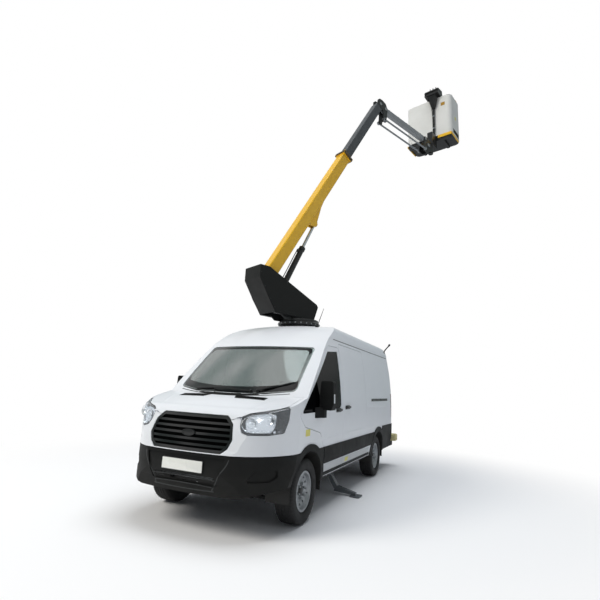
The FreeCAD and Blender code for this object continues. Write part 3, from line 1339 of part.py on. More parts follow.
piston = newBody("lift_rod")
sketch = newSketch(piston, "YZ_Plane", 640)
drawCircle(sketch, (0, 0), S.rod_radius)
pad(piston, sketch, ramLong - 640 - 20)
sketch = newSketch(piston, "XZ_Plane")
drawCircle(sketch, (ramLong, 0), S.pin_radius + 20)
pad(piston, sketch, S.lug_half * 2 - 10, Midplane=True)
keep(place(piston, ramSpot))

# Stabiliser legs with their feet
legDown = slanted(legTop, mm(S.stab_leg_long), legWide, legDeep)
footOut = mm(S.stab_foot_out)
padLong = mm(S.stab_pad_long)
padWide = mm(S.stab_pad_wide)
groundGap = mm(S.ground_gap)
footArm = polygonFace([(elbow.x - 40, stabPlace - 35, groundGap + 40), (elbow.x - 20, stabPlace - 35, elbow.z + 45),
                       (elbow.x + 60, stabPlace - 35, elbow.z + 20), (footOut, stabPlace - 35, groundGap + 50),
                       (footOut, stabPlace - 35, groundGap + 12)]).extrude(Vector(0, 70, 0))
footPad = block(footOut - padWide / 2, footOut + padWide / 2, stabPlace - padLong / 2,
                stabPlace + padLong / 2, groundGap, groundGap + 14)
footPad = footPad.makeFillet(30, [e for e in footPad.Edges if runsAlong(e, 2)])
leg = legDown.multiFuse([footArm, footPad])
for side, name in ((1, "left"), (-1, "right")):
    keep(shapePart(f"stabiliser_{name}", leg if side > 0 else mirrored(leg)))

# Checks, then one file per piece
doc.recompute()
for item in doc.Objects:
    if "Invalid" in item.State or "Error" in item.State:
        raise RuntimeError(f"{item.Label} failed: {item.State}")
for node in nodes:
    if node.Shape.isNull() or not node.Shape.isValid() or not node.Shape.Solids:
        raise RuntimeError(f"{node.Label} has no valid solid")

os.makedirs("parts", exist_ok=True)
for node in nodes:
    node.Shape.exportStep(f"parts/{node.Label}.step")
    print(node.Label, len(node.Shape.Solids), round(node.Shape.Volume / 1e6, 2))
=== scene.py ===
import json
import math

import bmesh
import bpy
import numpy as np
from mathutils import Matrix, Vector
from mathutils.bvhtree import BVHTree


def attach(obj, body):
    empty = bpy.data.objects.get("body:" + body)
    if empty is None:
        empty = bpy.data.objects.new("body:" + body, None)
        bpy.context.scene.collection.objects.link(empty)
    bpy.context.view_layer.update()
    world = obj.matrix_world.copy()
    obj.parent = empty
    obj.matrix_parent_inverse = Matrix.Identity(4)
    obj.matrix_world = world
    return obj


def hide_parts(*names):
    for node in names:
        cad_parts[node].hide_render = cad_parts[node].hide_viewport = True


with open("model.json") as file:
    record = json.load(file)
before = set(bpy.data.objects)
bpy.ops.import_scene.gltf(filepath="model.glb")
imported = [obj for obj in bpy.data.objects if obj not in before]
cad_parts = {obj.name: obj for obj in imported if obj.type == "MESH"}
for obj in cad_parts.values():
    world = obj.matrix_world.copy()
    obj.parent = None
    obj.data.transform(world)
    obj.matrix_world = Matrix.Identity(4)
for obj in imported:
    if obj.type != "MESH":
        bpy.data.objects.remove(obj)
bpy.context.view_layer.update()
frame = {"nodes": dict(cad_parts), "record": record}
nodes = frame["nodes"]
sides = ((1, "left"), (-1, "right"))
print("frame loaded:", len(nodes), "nodes")


# Colours are written as sRGB hex; the curve to linear is a line near black and a power above
def paintColour(code):
    rgb = np.array([int(code[i:i + 2], 16) for i in (0, 2, 4)]) / 255
    linear = np.where(rgb <= 0.04045, rgb / 12.92, ((rgb + 0.055) / 1.055) ** 2.4)
    return (*linear.tolist(), 1.0)


# One shader node with its settings, socket values and incoming links
def addNode(tree, kind, values=None, links=None, **settings):
    node = tree.nodes.new(kind)
    for name, value in settings.items():
        setattr(node, name, value)
    for socket, value in (values or {}).items():
        node.inputs[socket].default_value = value
    for socket, source in (links or {}).items():
        tree.links.new(source, node.inputs[socket])
    return node


# The emptied node tree of a material or of the world
def emptyTree(owner):
    owner.use_nodes = True
    owner.node_tree.nodes.clear()
    return owner.node_tree


# 1 for a ray from the camera or through glass, else 0
def seenDirectly(tree):
    rays = addNode(tree, "ShaderNodeLightPath").outputs
    return addNode(tree, "ShaderNodeMath", links={0: rays["Is Camera Ray"],
                                                  1: rays["Is Transmission Ray"]},
                   operation="MAXIMUM").outputs[0]


# Camera where the photograph was taken, worked out from the van's known sizes
viewPoint = {"place": (2.963, -4.692, 1.507), "yaw": 24.71, "pitch": 12.07, "roll": 2.73,
             "lens": 24.77, "sensor": 36, "reach": 200}


# The view's three axes from its yaw and pitch, then rolled about the line of sight
def setCamera():
    yaw, pitch, roll = (math.radians(viewPoint[key]) for key in ("yaw", "pitch", "roll"))
    ahead = Vector((-math.sin(yaw) * math.cos(pitch), math.cos(yaw) * math.cos(pitch),
                    math.sin(pitch)))
    right = Vector((math.cos(yaw), math.sin(yaw), 0))
    above = right.cross(ahead)
    rolledRight = math.cos(roll) * right + math.sin(roll) * above
    rolledAbove = -math.sin(roll) * right + math.cos(roll) * above
    data = bpy.data.cameras.new("photoCamera")
    data.sensor_width = viewPoint["sensor"]
    data.lens = viewPoint["lens"]
    data.clip_end = viewPoint["reach"]
    camera = bpy.data.objects.new("photoCamera", data)
    turn = Matrix((rolledRight, rolledAbove, -ahead)).transposed().to_4x4()
    camera.matrix_world = Matrix.Translation(viewPoint["place"]) @ turn
    bpy.context.scene.collection.objects.link(camera)
    bpy.context.scene.camera = camera


setCamera()
bpy.context.scene.view_settings.view_transform = "Standard"

# Overcast studio light: round lamps over the van, and a weak even sky
lightPlan = {
    "key": {"place": (-9, -11, 13), "target": (0, 1.5, 2.5), "size": 9, "power": 2050,
            "colour": "FFFBF4"},
    "top": {"place": (1, 4, 19), "target": (0, 2, 2), "size": 12, "power": 1850,
            "colour": "F6FAFF"},
    "side": {"place": (12, -2, 6), "target": (0, 2, 3), "size": 8, "power": 60,
             "colour": "EEF4FF"},
}
# What glass and lacquer mirror is broken cloud, and the camera sees white paper
skyPlan = {"strength": 0.25, "colour": "E9F1FA", "cloudStrength": 0.78, "cloudScale": 2.3,
           "cloudDetail": 2.5, "cloudRough": 0.45, "cloudEdge": (0.42, 0.60),
           "cloudDark": "8FA09F", "cloudLight": "FFFFFF"}


# A round lamp that faces its target and isn't mirrored
def setLamp(name, plan):
    data = bpy.data.lights.new(name + "Light", "AREA")
    data.shape = "DISK"
    data.size = plan["size"]
    data.energy = plan["power"]
    data.color = paintColour(plan["colour"])[:3]
    lamp = bpy.data.objects.new(name + "Light", data)
    place = Vector(plan["place"])
    aim = (Vector(plan["target"]) - place).to_track_quat("-Z", "Y")
    lamp.matrix_world = Matrix.Translation(place) @ aim.to_matrix().to_4x4()
    lamp.visible_glossy = False
    bpy.context.scene.collection.objects.link(lamp)


# An even sky for the light, clouds for reflections and white paper for the camera
def setSky():
    plan = skyPlan
    world = bpy.data.worlds.new("paleSky")
    bpy.context.scene.world = world
    tree = emptyTree(world)
    sky = addNode(tree, "ShaderNodeBackground", {"Color": paintColour(plan["colour"]),
                                                 "Strength": plan["strength"]})
    place = addNode(tree, "ShaderNodeTexCoord").outputs["Generated"]
    puffs = addNode(tree, "ShaderNodeTexNoise",
                    {"Scale": plan["cloudScale"], "Detail": plan["cloudDetail"],
                     "Roughness": plan["cloudRough"]}, {"Vector": place})
    thin, thick = plan["cloudEdge"]
    share = addNode(tree, "ShaderNodeMapRange", {"From Min": thin, "From Max": thick},
                    {"Value": puffs.outputs["Fac"]}, interpolation_type="SMOOTHSTEP")
    tint = addNode(tree, "ShaderNodeMix", {6: paintColour(plan["cloudDark"]),
                                           7: paintColour(plan["cloudLight"])},
                   {0: share.outputs[0]}, data_type="RGBA")
    cloud = addNode(tree, "ShaderNodeBackground", {"Strength": plan["cloudStrength"]},
                    {"Color": tint.outputs[2]})
    paper = addNode(tree, "ShaderNodeBackground", {"Color": (1, 1, 1, 1), "Strength": 1.0})
    glossy = addNode(tree, "ShaderNodeLightPath").outputs["Is Glossy Ray"]
    mirrored = addNode(tree, "ShaderNodeMixShader", links={0: glossy, 1: sky.outputs[0],
                                                           2: cloud.outputs[0]})
    mix = addNode(tree, "ShaderNodeMixShader", links={0: seenDirectly(tree),
                                                      1: mirrored.outputs[0],
                                                      2: paper.outputs[0]})
    addNode(tree, "ShaderNodeOutputWorld", links={"Surface": mix.outputs[0]})


for name, plan in lightPlan.items():
    setLamp(name, plan)
setSky()

# Floor: pale and matt near the van, pure white further out so that it has no edge
floorPlan = {"radius": 60, "colour": "FBFBFB", "middle": (0, 2, 0), "matt": 2.4, "white": 6.8}


# A square that fades from matt paint to plain white with the distance from its middle
def setFloor():
    r = floorPlan["radius"]
    mesh = bpy.data.meshes.new("studioFloor")
    mesh.from_pydata([(-r, -r, 0), (r, -r, 0), (r, r, 0), (-r, r, 0)], [], [(0, 1, 2, 3)])
    floor = bpy.data.objects.new("studioFloor", mesh)
    bpy.context.scene.collection.objects.link(floor)
    surface = bpy.data.materials.new("paleFloorPaint")
    tree = emptyTree(surface)
    spot = addNode(tree, "ShaderNodeTexCoord").outputs["Object"]
    away = addNode(tree, "ShaderNodeVectorMath", {1: floorPlan["middle"]}, {0: spot},
                   operation="SUBTRACT")
    distance = addNode(tree, "ShaderNodeVectorMath", links={0: away.outputs[0]},
                       operation="LENGTH")
    fade = addNode(tree, "ShaderNodeMapRange", {"From Min": floorPlan["matt"],
                                                "From Max": floorPlan["white"]},
                   {"Value": distance.outputs["Value"]}, interpolation_type="SMOOTHSTEP")
    hide = addNode(tree, "ShaderNodeMath", links={0: fade.outputs[0], 1: seenDirectly(tree)},
                   operation="MULTIPLY")
    matt = addNode(tree, "ShaderNodeBsdfDiffuse", {"Color": paintColour(floorPlan["colour"])})
    glow = addNode(tree, "ShaderNodeEmission", {"Color": (1, 1, 1, 1), "Strength": 1.0})
    mix = addNode(tree, "ShaderNodeMixShader", links={0: hide.outputs[0], 1: matt.outputs[0],
                                                      2: glow.outputs[0]})
    addNode(tree, "ShaderNodeOutputMaterial", links={"Surface": mix.outputs[0]})
    mesh.materials.append(surface)


setFloor()
print("camera, light and floor set")

noisePlan = {"patchEdge": (0.35, 0.7), "swingEdge": (0.3, 0.7), "dustScale": 9.0}


# A surface: a Principled shader whose colour goes from `colour` to `second` in patches, whose
# roughness swings with them, and whose relief is one noise for each (size in mm, strength)
def makeSurface(name, colour, rough, metal=0.0, coat=0.0, ior=1.45, second=None, patch=400,
                patchShare=0.4, roughSwing=0.08, grain=(), seeThrough=0.0, dust=None,
                sheen=0.0):
    surface = bpy.data.materials.new(name)
    tree = emptyTree(surface)
    spot = addNode(tree, "ShaderNodeTexCoord").outputs["Object"]
    shader = addNode(tree, "ShaderNodeBsdfPrincipled", {
        "Base Color": paintColour(colour), "Roughness": rough, "Metallic": metal,
        "Coat Weight": coat, "Coat Roughness": 0.04, "Transmission Weight": seeThrough,
        "Sheen Weight": sheen})
    if not metal:
        shader.inputs["IOR"].default_value = ior
    cloud = addNode(tree, "ShaderNodeTexNoise", {"Scale": 1000 / patch, "Detail": 5.0,
                                                 "Roughness": 0.6}, {"Vector": spot})
    low, high = noisePlan["patchEdge"]
    share = addNode(tree, "ShaderNodeMapRange", {"From Min": low, "From Max": high,
                                                 "To Max": patchShare},
                    {"Value": cloud.outputs["Fac"]})
    tint = addNode(tree, "ShaderNodeMix", {6: paintColour(colour),
                                           7: paintColour(second or colour)},
                   {0: share.outputs[0]}, data_type="RGBA")
    colourOut = tint.outputs[2]
    if dust:
        # road dust that thins out upwards, broken up by noise
        height = addNode(tree, "ShaderNodeSeparateXYZ", links={0: spot})
        fall = addNode(tree, "ShaderNodeMapRange", {"From Min": dust["low"],
                                                    "From Max": dust["high"],
                                                    "To Min": dust["share"], "To Max": 0.0},
                       {"Value": height.outputs["Z"]})
        streak = addNode(tree, "ShaderNodeTexNoise", {"Scale": noisePlan["dustScale"],
                                                      "Detail": 6.0}, {"Vector": spot})
        amount = addNode(tree, "ShaderNodeMath", links={0: fall.outputs[0],
                                                        1: streak.outputs["Fac"]},
                         operation="MULTIPLY")
        dusty = addNode(tree, "ShaderNodeMix", {7: paintColour(dust["colour"])},
                        {0: amount.outputs[0], 6: colourOut}, data_type="RGBA")
        colourOut = dusty.outputs[2]
    tree.links.new(colourOut, shader.inputs["Base Color"])
    if roughSwing:
        low, high = noisePlan["swingEdge"]
        swing = addNode(tree, "ShaderNodeMapRange", {"From Min": low, "From Max": high,
                                                     "To Min": max(rough - roughSwing, 0.0),
                                                     "To Max": min(rough + roughSwing, 1.0)},
                        {"Value": cloud.outputs["Fac"]})
        tree.links.new(swing.outputs[0], shader.inputs["Roughness"])
    # each grain stands a quarter of its size high
    normal = None
    for size, strength in grain:
        noise = addNode(tree, "ShaderNodeTexNoise", {"Scale": 1000 / size, "Detail": 2.0},
                        {"Vector": spot})
        links = {"Height": noise.outputs["Fac"]}
        if normal:
            links["Normal"] = normal
        normal = addNode(tree, "ShaderNodeBump", {"Strength": strength, "Distance": size / 4000},
                         links).outputs["Normal"]
    if normal:
        tree.links.new(normal, shader.inputs["Normal"])
    addNode(tree, "ShaderNodeOutputMaterial", links={"Surface": shader.outputs[0]})
    return surface


# Each finish: the record's slot that it goes with, its colour, its roughness and the rest
finishPlan = {
    # acrylic vehicle paint under clear lacquer: a faint orange peel, dusty low down
    "whiteLacquer": ("white_paint", "E9ECF0", 0.34, {
        "coat": 0.25, "second": "E3E6EA", "grain": [(4, 0.012)], "roughSwing": 0.04,
        "patchShare": 0.3,
        "dust": {"low": 0.5, "high": 1.3, "share": 0.16, "colour": "B9B4A8"}}),
    # two-pack enamel, warm yellow and slightly worn; its brush marks are drawn coarse to show
    "yellowEnamel": ("yellow_paint", "ECBA2A", 0.36, {
        "coat": 0.25, "second": "E4AE22", "patch": 260, "grain": [(40, 0.01)]}),
    # sprayed enamel, mid grey, half matt
    "greyEnamel": ("grey_paint", "65696C", 0.42, {
        "coat": 0.1, "second": "55595C", "patch": 180, "grain": [(30, 0.01)]}),
    # powder coat: satin black with a fine orange peel
    "blackPowderCoat": ("black_paint", "191A1A", 0.38, {
        "coat": 0.15, "second": "222323", "patch": 220, "grain": [(3, 0.05)]}),
    # aluminium paint on pressed steel: dull silver, stained by brake dust
    "silverWheelPaint": ("silver_paint", "9A9DA0", 0.36, {
        "metal": 0.75, "second": "7C7F82", "patch": 60, "grain": [(2, 0.03)]}),
    # moulded polypropylene with a leather grain: near black, matt, dusty low down
    "grainedPolypropylene": ("dark_trim", "101111", 0.6, {
        "ior": 1.27, "second": "161717", "patch": 300, "grain": [(2.2, 0.22)],
        "dust": {"low": 0.35, "high": 0.9, "share": 0.09, "colour": "6B675F"}}),
    # moulded ABS: black with a soft shine
    "blackAbs": ("black_plastic", "121313", 0.32, {"second": "191A1A", "grain": [(1.5, 0.05)]}),
    # gelcoated glass fibre: pale grey, scuffed
    "greyGelcoat": ("basket_grp", "DADAD6", 0.4, {
        "coat": 0.1, "second": "C9C9C4", "patch": 300, "grain": [(9, 0.03)]}),
    # laminated glass: grey-green, and mirrors the clouds strongly at the screen's slope
    "laminatedGlass": ("window_glass", "AEBBB8", 0.03, {
        "seeThrough": 0.8, "ior": 2.5, "roughSwing": 0}),
    # body-tinted glass: nearly black from outside
    "privacyGlass": ("dark_glass", "0A0B0C", 0.03, {
        "seeThrough": 0.4, "ior": 1.12, "roughSwing": 0}),
    # moulded polycarbonate, clear and hard-coated
    "clearPolycarbonate": ("lamp_lens", "F0F4F8", 0.02, {
        "seeThrough": 0.96, "ior": 1.4, "roughSwing": 0}),
    # moulded polycarbonate, deep red
    "redPolycarbonate": ("red_lens", "8E0C12", 0.08, {
        "seeThrough": 0.35, "ior": 1.5, "roughSwing": 0, "coat": 0.5}),
    # vulcanised rubber: charcoal and matt
    "tyreRubber": ("tyre_rubber", "1B1B1C", 0.72, {
        "second": "262626", "patch": 120, "grain": [(1.5, 0.15)]}),
    # woven polyester over foam: dark grey with a soft edge light
    "seatCloth": ("seat_cloth", "2C2F33", 0.9, {
        "second": "34383C", "patch": 60, "grain": [(3, 0.35)], "sheen": 0.3}),
    # zinc-plated steel: pale, slightly cloudy
    "zincSteel": ("steel", "9FA3A6", 0.34, {
        "metal": 0.9, "second": "85898B", "patch": 30, "grain": [(2, 0.04)]}),
    # ceramic ink fired on glass: black under a glossy face
    "printedGlassBand": ("black_plastic", "0E0F10", 0.06, {"coat": 0.3, "roughSwing": 0}),
    # reflective sheet on a pressed plate: cream white
    "platePlastic": ("basket_grp", "E9EAE4", 0.3, {
        "coat": 0.4, "second": "E0E1DA", "patch": 120}),
    # brushed aluminium strip, dulled by road dust
    "brushedSillStrip": ("silver_paint", "C9CCCE", 0.38, {
        "second": "B7BABC", "patch": 200, "grain": [(5, 0.03)],
        "dust": {"low": 0.45, "high": 0.62, "share": 0.35, "colour": "8D8880"}}),
    # printed vinyl film, pale yellow and faded
    "yellowLabelFilm": ("yellow_paint", "DDD56A", 0.4, {"second": "D2CA60", "patch": 40}),
    # greased bronze-filled nylon: dark brown
    "bronzeWearPad": ("yellow_paint", "4E3E20", 0.5, {
        "second": "3A2E18", "patch": 60, "grain": [(3, 0.1)]}),
    # extruded rubber hose: black, slightly shiny
    "rubberHose": ("black_plastic", "161616", 0.5, {
        "second": "202020", "patch": 60, "grain": [(2, 0.12)]}),
    # hard chrome on a ground rod
    "chromedSteel": ("steel", "C9CCCF", 0.12, {"metal": 1.0, "second": "B6B9BC", "patch": 80}),
    # vacuum-plated reflector: bright, slightly soft
    "chromedReflector": ("steel", "E6E8EA", 0.14, {"metal": 1.0, "roughSwing": 0}),
    # moulded bezel inside the lamp: dark grey, half shiny
    "lampBezel": ("black_plastic", "2A2C2E", 0.3, {"second": "33363A", "patch": 80}),
    # frosted glass: milky white with a gloss
    "opalGlass": ("lamp_lens", "DDE2E6", 0.1, {"ior": 1.5, "roughSwing": 0, "coat": 0.6}),
    # silvered float glass
    "silveredGlass": ("window_glass", "AEB4B6", 0.03, {"metal": 1.0, "roughSwing": 0}),
    # rubber faded to cream on the rear step's ends
    "creamRubber": ("yellow_paint", "D8CE9C", 0.6, {
        "second": "C6BB88", "patch": 60, "grain": [(3, 0.1)]}),
    # soft plastic edging, a shade paler than its neighbours as a painted highlight along its
    # raised edges
    "edgeHighlightPlastic": ("dark_trim", "2C2E2E", 0.45, {
        "second": "242626", "patch": 120, "grain": [(2.5, 0.15)]}),
    # matt powder coat on the turret's sheets: the deepest black
    "turretPowderCoat": ("black_paint", "0C0D0C", 0.45, {
        "ior": 1.35, "second": "121312", "patch": 220, "grain": [(3, 0.06)]}),
    # gloss ABS on the grille's bars
    "glossBlackAbs": ("black_plastic", "0D0E0E", 0.18, {"coat": 0.5, "second": "121313"}),
    # near-black matt paint on the grille's mesh, a painted shade for the dark opening behind the
    # bars: no shine at all
    "grilleShadeBlack": ("black_plastic", "050505", 0.9, {"ior": 1.2, "second": "090909"}),
    # the inner boom's grey, darker than the grey enamel as painted shade, and the jib's, paler as
    # painted light; both sprayed and half matt
    "boomInnerShadedGrey": ("grey_paint", "484B4E", 0.42, {
        "second": "3C3F42", "patch": 180, "grain": [(6, 0.02)]}),
    "jibBeamLitGrey": ("grey_paint", "8B8E90", 0.4, {
        "coat": 0.1, "second": "777A7C", "patch": 140, "grain": [(30, 0.01)]}),
    "jibRodPaint": ("grey_paint", "84888B", 0.4, {
        "coat": 0.1, "second": "6E7275", "patch": 90, "grain": [(4, 0.03)]}),
    # faded ochre paint on the basket's patch
    "ochrePaint": ("yellow_paint", "A9822C", 0.5, {
        "second": "8E6B22", "patch": 50, "grain": [(3, 0.05)]}),
    # sand-cast iron: rough and dark, brown in places
    "castIron": ("cast", "2E2E2F", 0.7, {
        "metal": 0.3, "second": "3A3835", "patch": 80, "grain": [(5, 0.2)]}),
    # rolled aluminium fins
    "finnedAluminium": ("alloy", "8D9092", 0.4, {
        "metal": 0.9, "patch": 60, "grain": [(3, 0.2)]}),
    # brushed-on wax: brown-black and lumpy
    "underbodyWax": ("underbody_paint", "1D1D1C", 0.6, {
        "second": "2C2A27", "patch": 160, "grain": [(8, 0.15)]}),
}
surfaces = {name: makeSurface(name, colour, rough, **rest)
            for name, (_, colour, rough, rest) in finishPlan.items()}

# CAD nodes: the finish for each slot of the record, and nodes that differ from their slot
slotFinish = {
    "white_paint": "whiteLacquer", "yellow_paint": "yellowEnamel", "grey_paint": "greyEnamel",
    "black_paint": "blackPowderCoat", "silver_paint": "silverWheelPaint",
    "black_plastic": "blackAbs", "dark_trim": "grainedPolypropylene", "basket_grp": "greyGelcoat",
    "window_glass": "laminatedGlass", "dark_glass": "privacyGlass",
    "lamp_lens": "clearPolycarbonate", "red_lens": "redPolycarbonate",
    "tyre_rubber": "tyreRubber", "seat_cloth": "seatCloth", "steel": "chromedSteel",
    "cast": "castIron", "alloy": "finnedAluminium", "underbody_paint": "underbodyWax",
}
nodeFinish = {
    # the jib's beam takes the grey painted lighter as painted light, the inner boom the grey
    # painted darker as painted shade
    "jib_rods": "jibRodPaint", "jib_beam": "jibBeamLitGrey", "turret_cover": "turretPowderCoat",
    "boom_inner": "boomInnerShadedGrey", "grille": "glossBlackAbs",
    "stabiliser_left": "greyEnamel", "stabiliser_right": "greyEnamel",
    "door_left_fittings": "grainedPolypropylene", "door_right_fittings": "grainedPolypropylene",
}
for item in frame["record"]["subparts"]:
    finish = nodeFinish.get(item["node"], slotFinish[item["material_slot"]])
    mesh = nodes[item["node"]].data
    mesh.materials.clear()
    mesh.materials.append(surfaces[finish])
print("CAD nodes dressed")


# Points from x, y and z, each a number or an array
def pointsOf(x, y, z):
    return np.stack(np.broadcast_arrays(x, y, z), -1).astype(float)


# Quads of a grid of points; a closed direction joins its last line to its first
def gridFaces(rows, columns, closeRows, closeColumns):
    i, j = np.meshgrid(np.arange(rows if closeRows else rows - 1),
                       np.arange(columns if closeColumns else columns - 1), indexing="ij")
    nextRow, nextColumn = (i + 1) % rows, (j + 1) % columns
    return np.stack([i * columns + j, i * columns + nextColumn, nextRow * columns + nextColumn,
                     nextRow * columns + j], -1).reshape(-1, 4).tolist()


# A part is (points, faces); a grid part may have its first and last rows filled in
def gridPart(points, closeRows=False, closeColumns=False, ends=False):
    rows, columns = points.shape[:2]
    faces = gridFaces(rows, columns, closeRows, closeColumns)
    if ends:
        faces += [list(range(columns))[::-1], list(range((rows - 1) * columns, rows * columns))]
    return points.reshape(-1, 3), faces


# One object of several parts that rides on a body, its faces turned outwards; `place` takes
# the parts from the frame that they were drawn in to the van's
def makePiece(name, parts, body, finish, smooth=40, place=None):
    points, faces, start = [], [], 0
    for part in parts:
        partPoints, partFaces = place(part) if place else part
        points.append(partPoints)
        faces += [[corner + start for corner in face] for face in partFaces]
        start += len(partPoints)
    mesh = bpy.data.meshes.new(name)
    mesh.from_pydata(np.concatenate(points).tolist(), [], faces)
    work = bmesh.new()
    work.from_mesh(mesh)
    bmesh.ops.recalc_face_normals(work, faces=work.faces)
    work.to_mesh(mesh)
    work.free()
    mesh.materials.append(surfaces[finish])
    mesh.shade_smooth()
    mesh.set_sharp_from_angle(angle=math.radians(smooth))
    piece = bpy.data.objects.new(name, mesh)
    bpy.context.scene.collection.objects.link(piece)
    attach(piece, body)
    return piece


# Closed outline of a rectangle with round corners, counter-clockwise
def roundedLoop(width, height, radius, steps=5):
    turn = np.linspace(0, np.pi / 2, steps)
    centres = np.array([(1, 1), (-1, 1), (-1, -1), (1, -1)]) * (width / 2 - radius,
                                                                height / 2 - radius)
    arcs = [centre + radius * np.stack([np.cos(turn + k * np.pi / 2),
                                        np.sin(turn + k * np.pi / 2)], -1)
            for k, centre in enumerate(centres)]
    return np.concatenate(arcs)


# Closed outline of a circle, as even steps of the angle
def circleLoop(radius, steps=16):
    turn = np.linspace(0, 2 * np.pi, steps, endpoint=False)
    return np.stack([radius * np.cos(turn), radius * np.sin(turn)], -1)


# A profile carried along a path: each ring stands square to the path, its second
# direction as near to `up` as the path allows; scale may vary along the path
def carry(profile, path, up=(0, 0, 1), scale=1.0, closed=False):
    path = np.asarray(path, float)
    ahead = pathSteps(path, closed)
    ahead /= np.linalg.norm(ahead, axis=1, keepdims=True)
    side = np.cross(ahead, np.broadcast_to(np.asarray(up, float), ahead.shape))
    side /= np.linalg.norm(side, axis=1, keepdims=True)
    above = np.cross(side, ahead)
    size = np.broadcast_to(scale, len(path))[:, None, None]
    rings = path[:, None] + size * (profile[None, :, 0, None] * side[:, None]
                                    + profile[None, :, 1, None] * above[:, None])
    return gridPart(rings, closeRows=closed, closeColumns=True, ends=not closed)


# Direction of a path at each point: from the point before it to the point after it
def pathSteps(path, closed=False):
    if closed:
        return np.roll(path, -1, 0) - np.roll(path, 1, 0)
    return np.gradient(path, axis=0)


# A smooth path through points, by Catmull-Rom pieces
def smoothPath(points, steps=8):
    p = np.asarray(points, float)
    p = np.concatenate([[2 * p[0] - p[1]], p, [2 * p[-1] - p[-2]]])
    t = np.linspace(0, 1, steps, endpoint=False)[:, None]
    runs = [0.5 * (2 * b + (c - a) * t + (2 * a - 5 * b + 4 * c - d) * t ** 2
                   + (3 * b - a - 3 * c + d) * t ** 3)
            for a, b, c, d in zip(p, p[1:], p[2:], p[3:])]
    return np.concatenate(runs + [p[-2][None]])


# A block with soft edges: rounded rings stacked upwards, drawn in at both ends by a quarter turn
def softBlock(low, high, radius, edge=None):
    low, high = np.asarray(low, float), np.asarray(high, float)
    edge = edge or radius
    size, centre = high - low, (low + high) / 2
    turn = np.linspace(0, np.pi / 2, 4)
    start, end = edge * (1 - np.sin(turn)), edge * (1 - np.cos(turn))
    inset = np.concatenate([start, end])
    level = np.concatenate([low[2] + end, high[2] - start])
    rings = [np.column_stack([roundedLoop(size[0] - 2 * d, size[1] - 2 * d,
                                          max(radius - d, 1e-4)) + centre[:2], np.full(20, z)])
             for d, z in zip(inset, level)]
    return gridPart(np.array(rings), closeColumns=True, ends=True)


# A round form: radius against distance along its axis
def spun(profile, place, axis, steps=32):
    profile = np.asarray(profile, float)
    axis = np.asarray(axis, float) / np.linalg.norm(axis)
    side = np.cross(axis, (0, 0, 1) if abs(axis[2]) < 0.9 else (1, 0, 0))
    side /= np.linalg.norm(side)
    round_ = circleLoop(1.0, steps) @ np.array([side, np.cross(axis, side)])
    rings = (np.asarray(place, float) + profile[:, 0, None, None] * axis
             + profile[:, 1, None, None] * round_)
    return gridPart(rings, closeColumns=True, ends=True)


# A hexagon bolt head on a washer, `size` across its flats
def boltHead(place, axis, size):
    half = size / math.sqrt(3)
    return [spun([(0, size * 0.85), (size * 0.12, size * 0.85)], place, axis, 20),
            spun([(size * 0.12, half * 0.98), (size * 0.5, half), (size * 0.62, half * 0.9)],
                 place, axis, 6)]


# A part turned about the origin, then moved
def moved(part, place, turn=None):
    points, faces = part
    if turn is not None:
        points = points @ np.array(turn).T
    return points + np.asarray(place, float), faces


# Ray tests against CAD nodes, for pieces that lie on a panel
def panelTree(*names):
    points, faces, start = [], [], 0
    for name in names:
        mesh = nodes[name].data
        place = np.empty(len(mesh.vertices) * 3)
        mesh.vertices.foreach_get("co", place)
        corner = np.empty(len(mesh.polygons) * 3, int)
        mesh.polygons.foreach_get("vertices", corner)
        points.append(place.reshape(-1, 3))
        faces.append(corner.reshape(-1, 3) + start)
        start += len(mesh.vertices)
    return BVHTree.FromPolygons(np.concatenate(points).tolist(), np.concatenate(faces).tolist())


# Points dropped along a direction on a panel, then lifted by `rise` against that direction;
# where the ray misses, the depth of the nearest hit is kept
def onPanel(tree, points, direction, rise):
    direction = Vector(direction).normalized()
    flat = np.asarray(points, float).reshape(-1, 3)
    hits = [tree.ray_cast(Vector(p) - direction * 3, direction) for p in flat]
    depth = np.array([hit[3] - 3 if hit[0] else np.nan for hit in hits])
    good, gaps = np.flatnonzero(~np.isnan(depth)), np.flatnonzero(np.isnan(depth))
    if len(gaps):
        near = np.linalg.norm(flat[gaps][:, None] - flat[good][None], axis=2).argmin(1)
        depth[gaps] = depth[good][near]
    rise = np.broadcast_to(np.asarray(rise, float), points.shape[:-1]).ravel()
    return (flat + (depth - rise)[:, None] * np.array(direction)).reshape(points.shape)


# A thin skin on a panel: a grid between four corners, whose rim turns down into the panel
def panelPatch(tree, corners, direction, rise, steps, sink=0.003):
    a, b, c, d = np.asarray(corners, float)
    u = np.linspace(0, 1, steps[0])[:, None, None]
    v = np.linspace(0, 1, steps[1])[None, :, None]
    grid = (1 - u) * (1 - v) * a + u * (1 - v) * b + u * v * c + (1 - u) * v * d
    grid = np.pad(grid, ((1, 1), (1, 1), (0, 0)), "edge")
    lift = np.pad(np.full(steps, rise), 1, constant_values=-sink)
    return gridPart(onPanel(tree, grid, direction, lift))


# A strip laid on a panel along a path: `across` gives the places over its width and `lift`
# the height at each, for the whole path or for each point of it
def panelStrip(tree, path, across, lift, direction):
    side = np.cross(pathSteps(path), np.asarray(direction, float))
    side /= np.linalg.norm(side, axis=1, keepdims=True)
    grid = path[:, None] + across[None, :, None] * side[:, None]
    return gridPart(onPanel(tree, grid, direction, np.broadcast_to(lift, grid.shape[:2])))


# A flat ribbon whose edges turn down into the panel
def panelRibbon(tree, path, width, direction, rise, sink=0.002):
    return panelStrip(tree, path, np.array([-0.5, -0.5, 0.5, 0.5]) * width,
                      np.array([-sink, rise, rise, -sink]), direction)


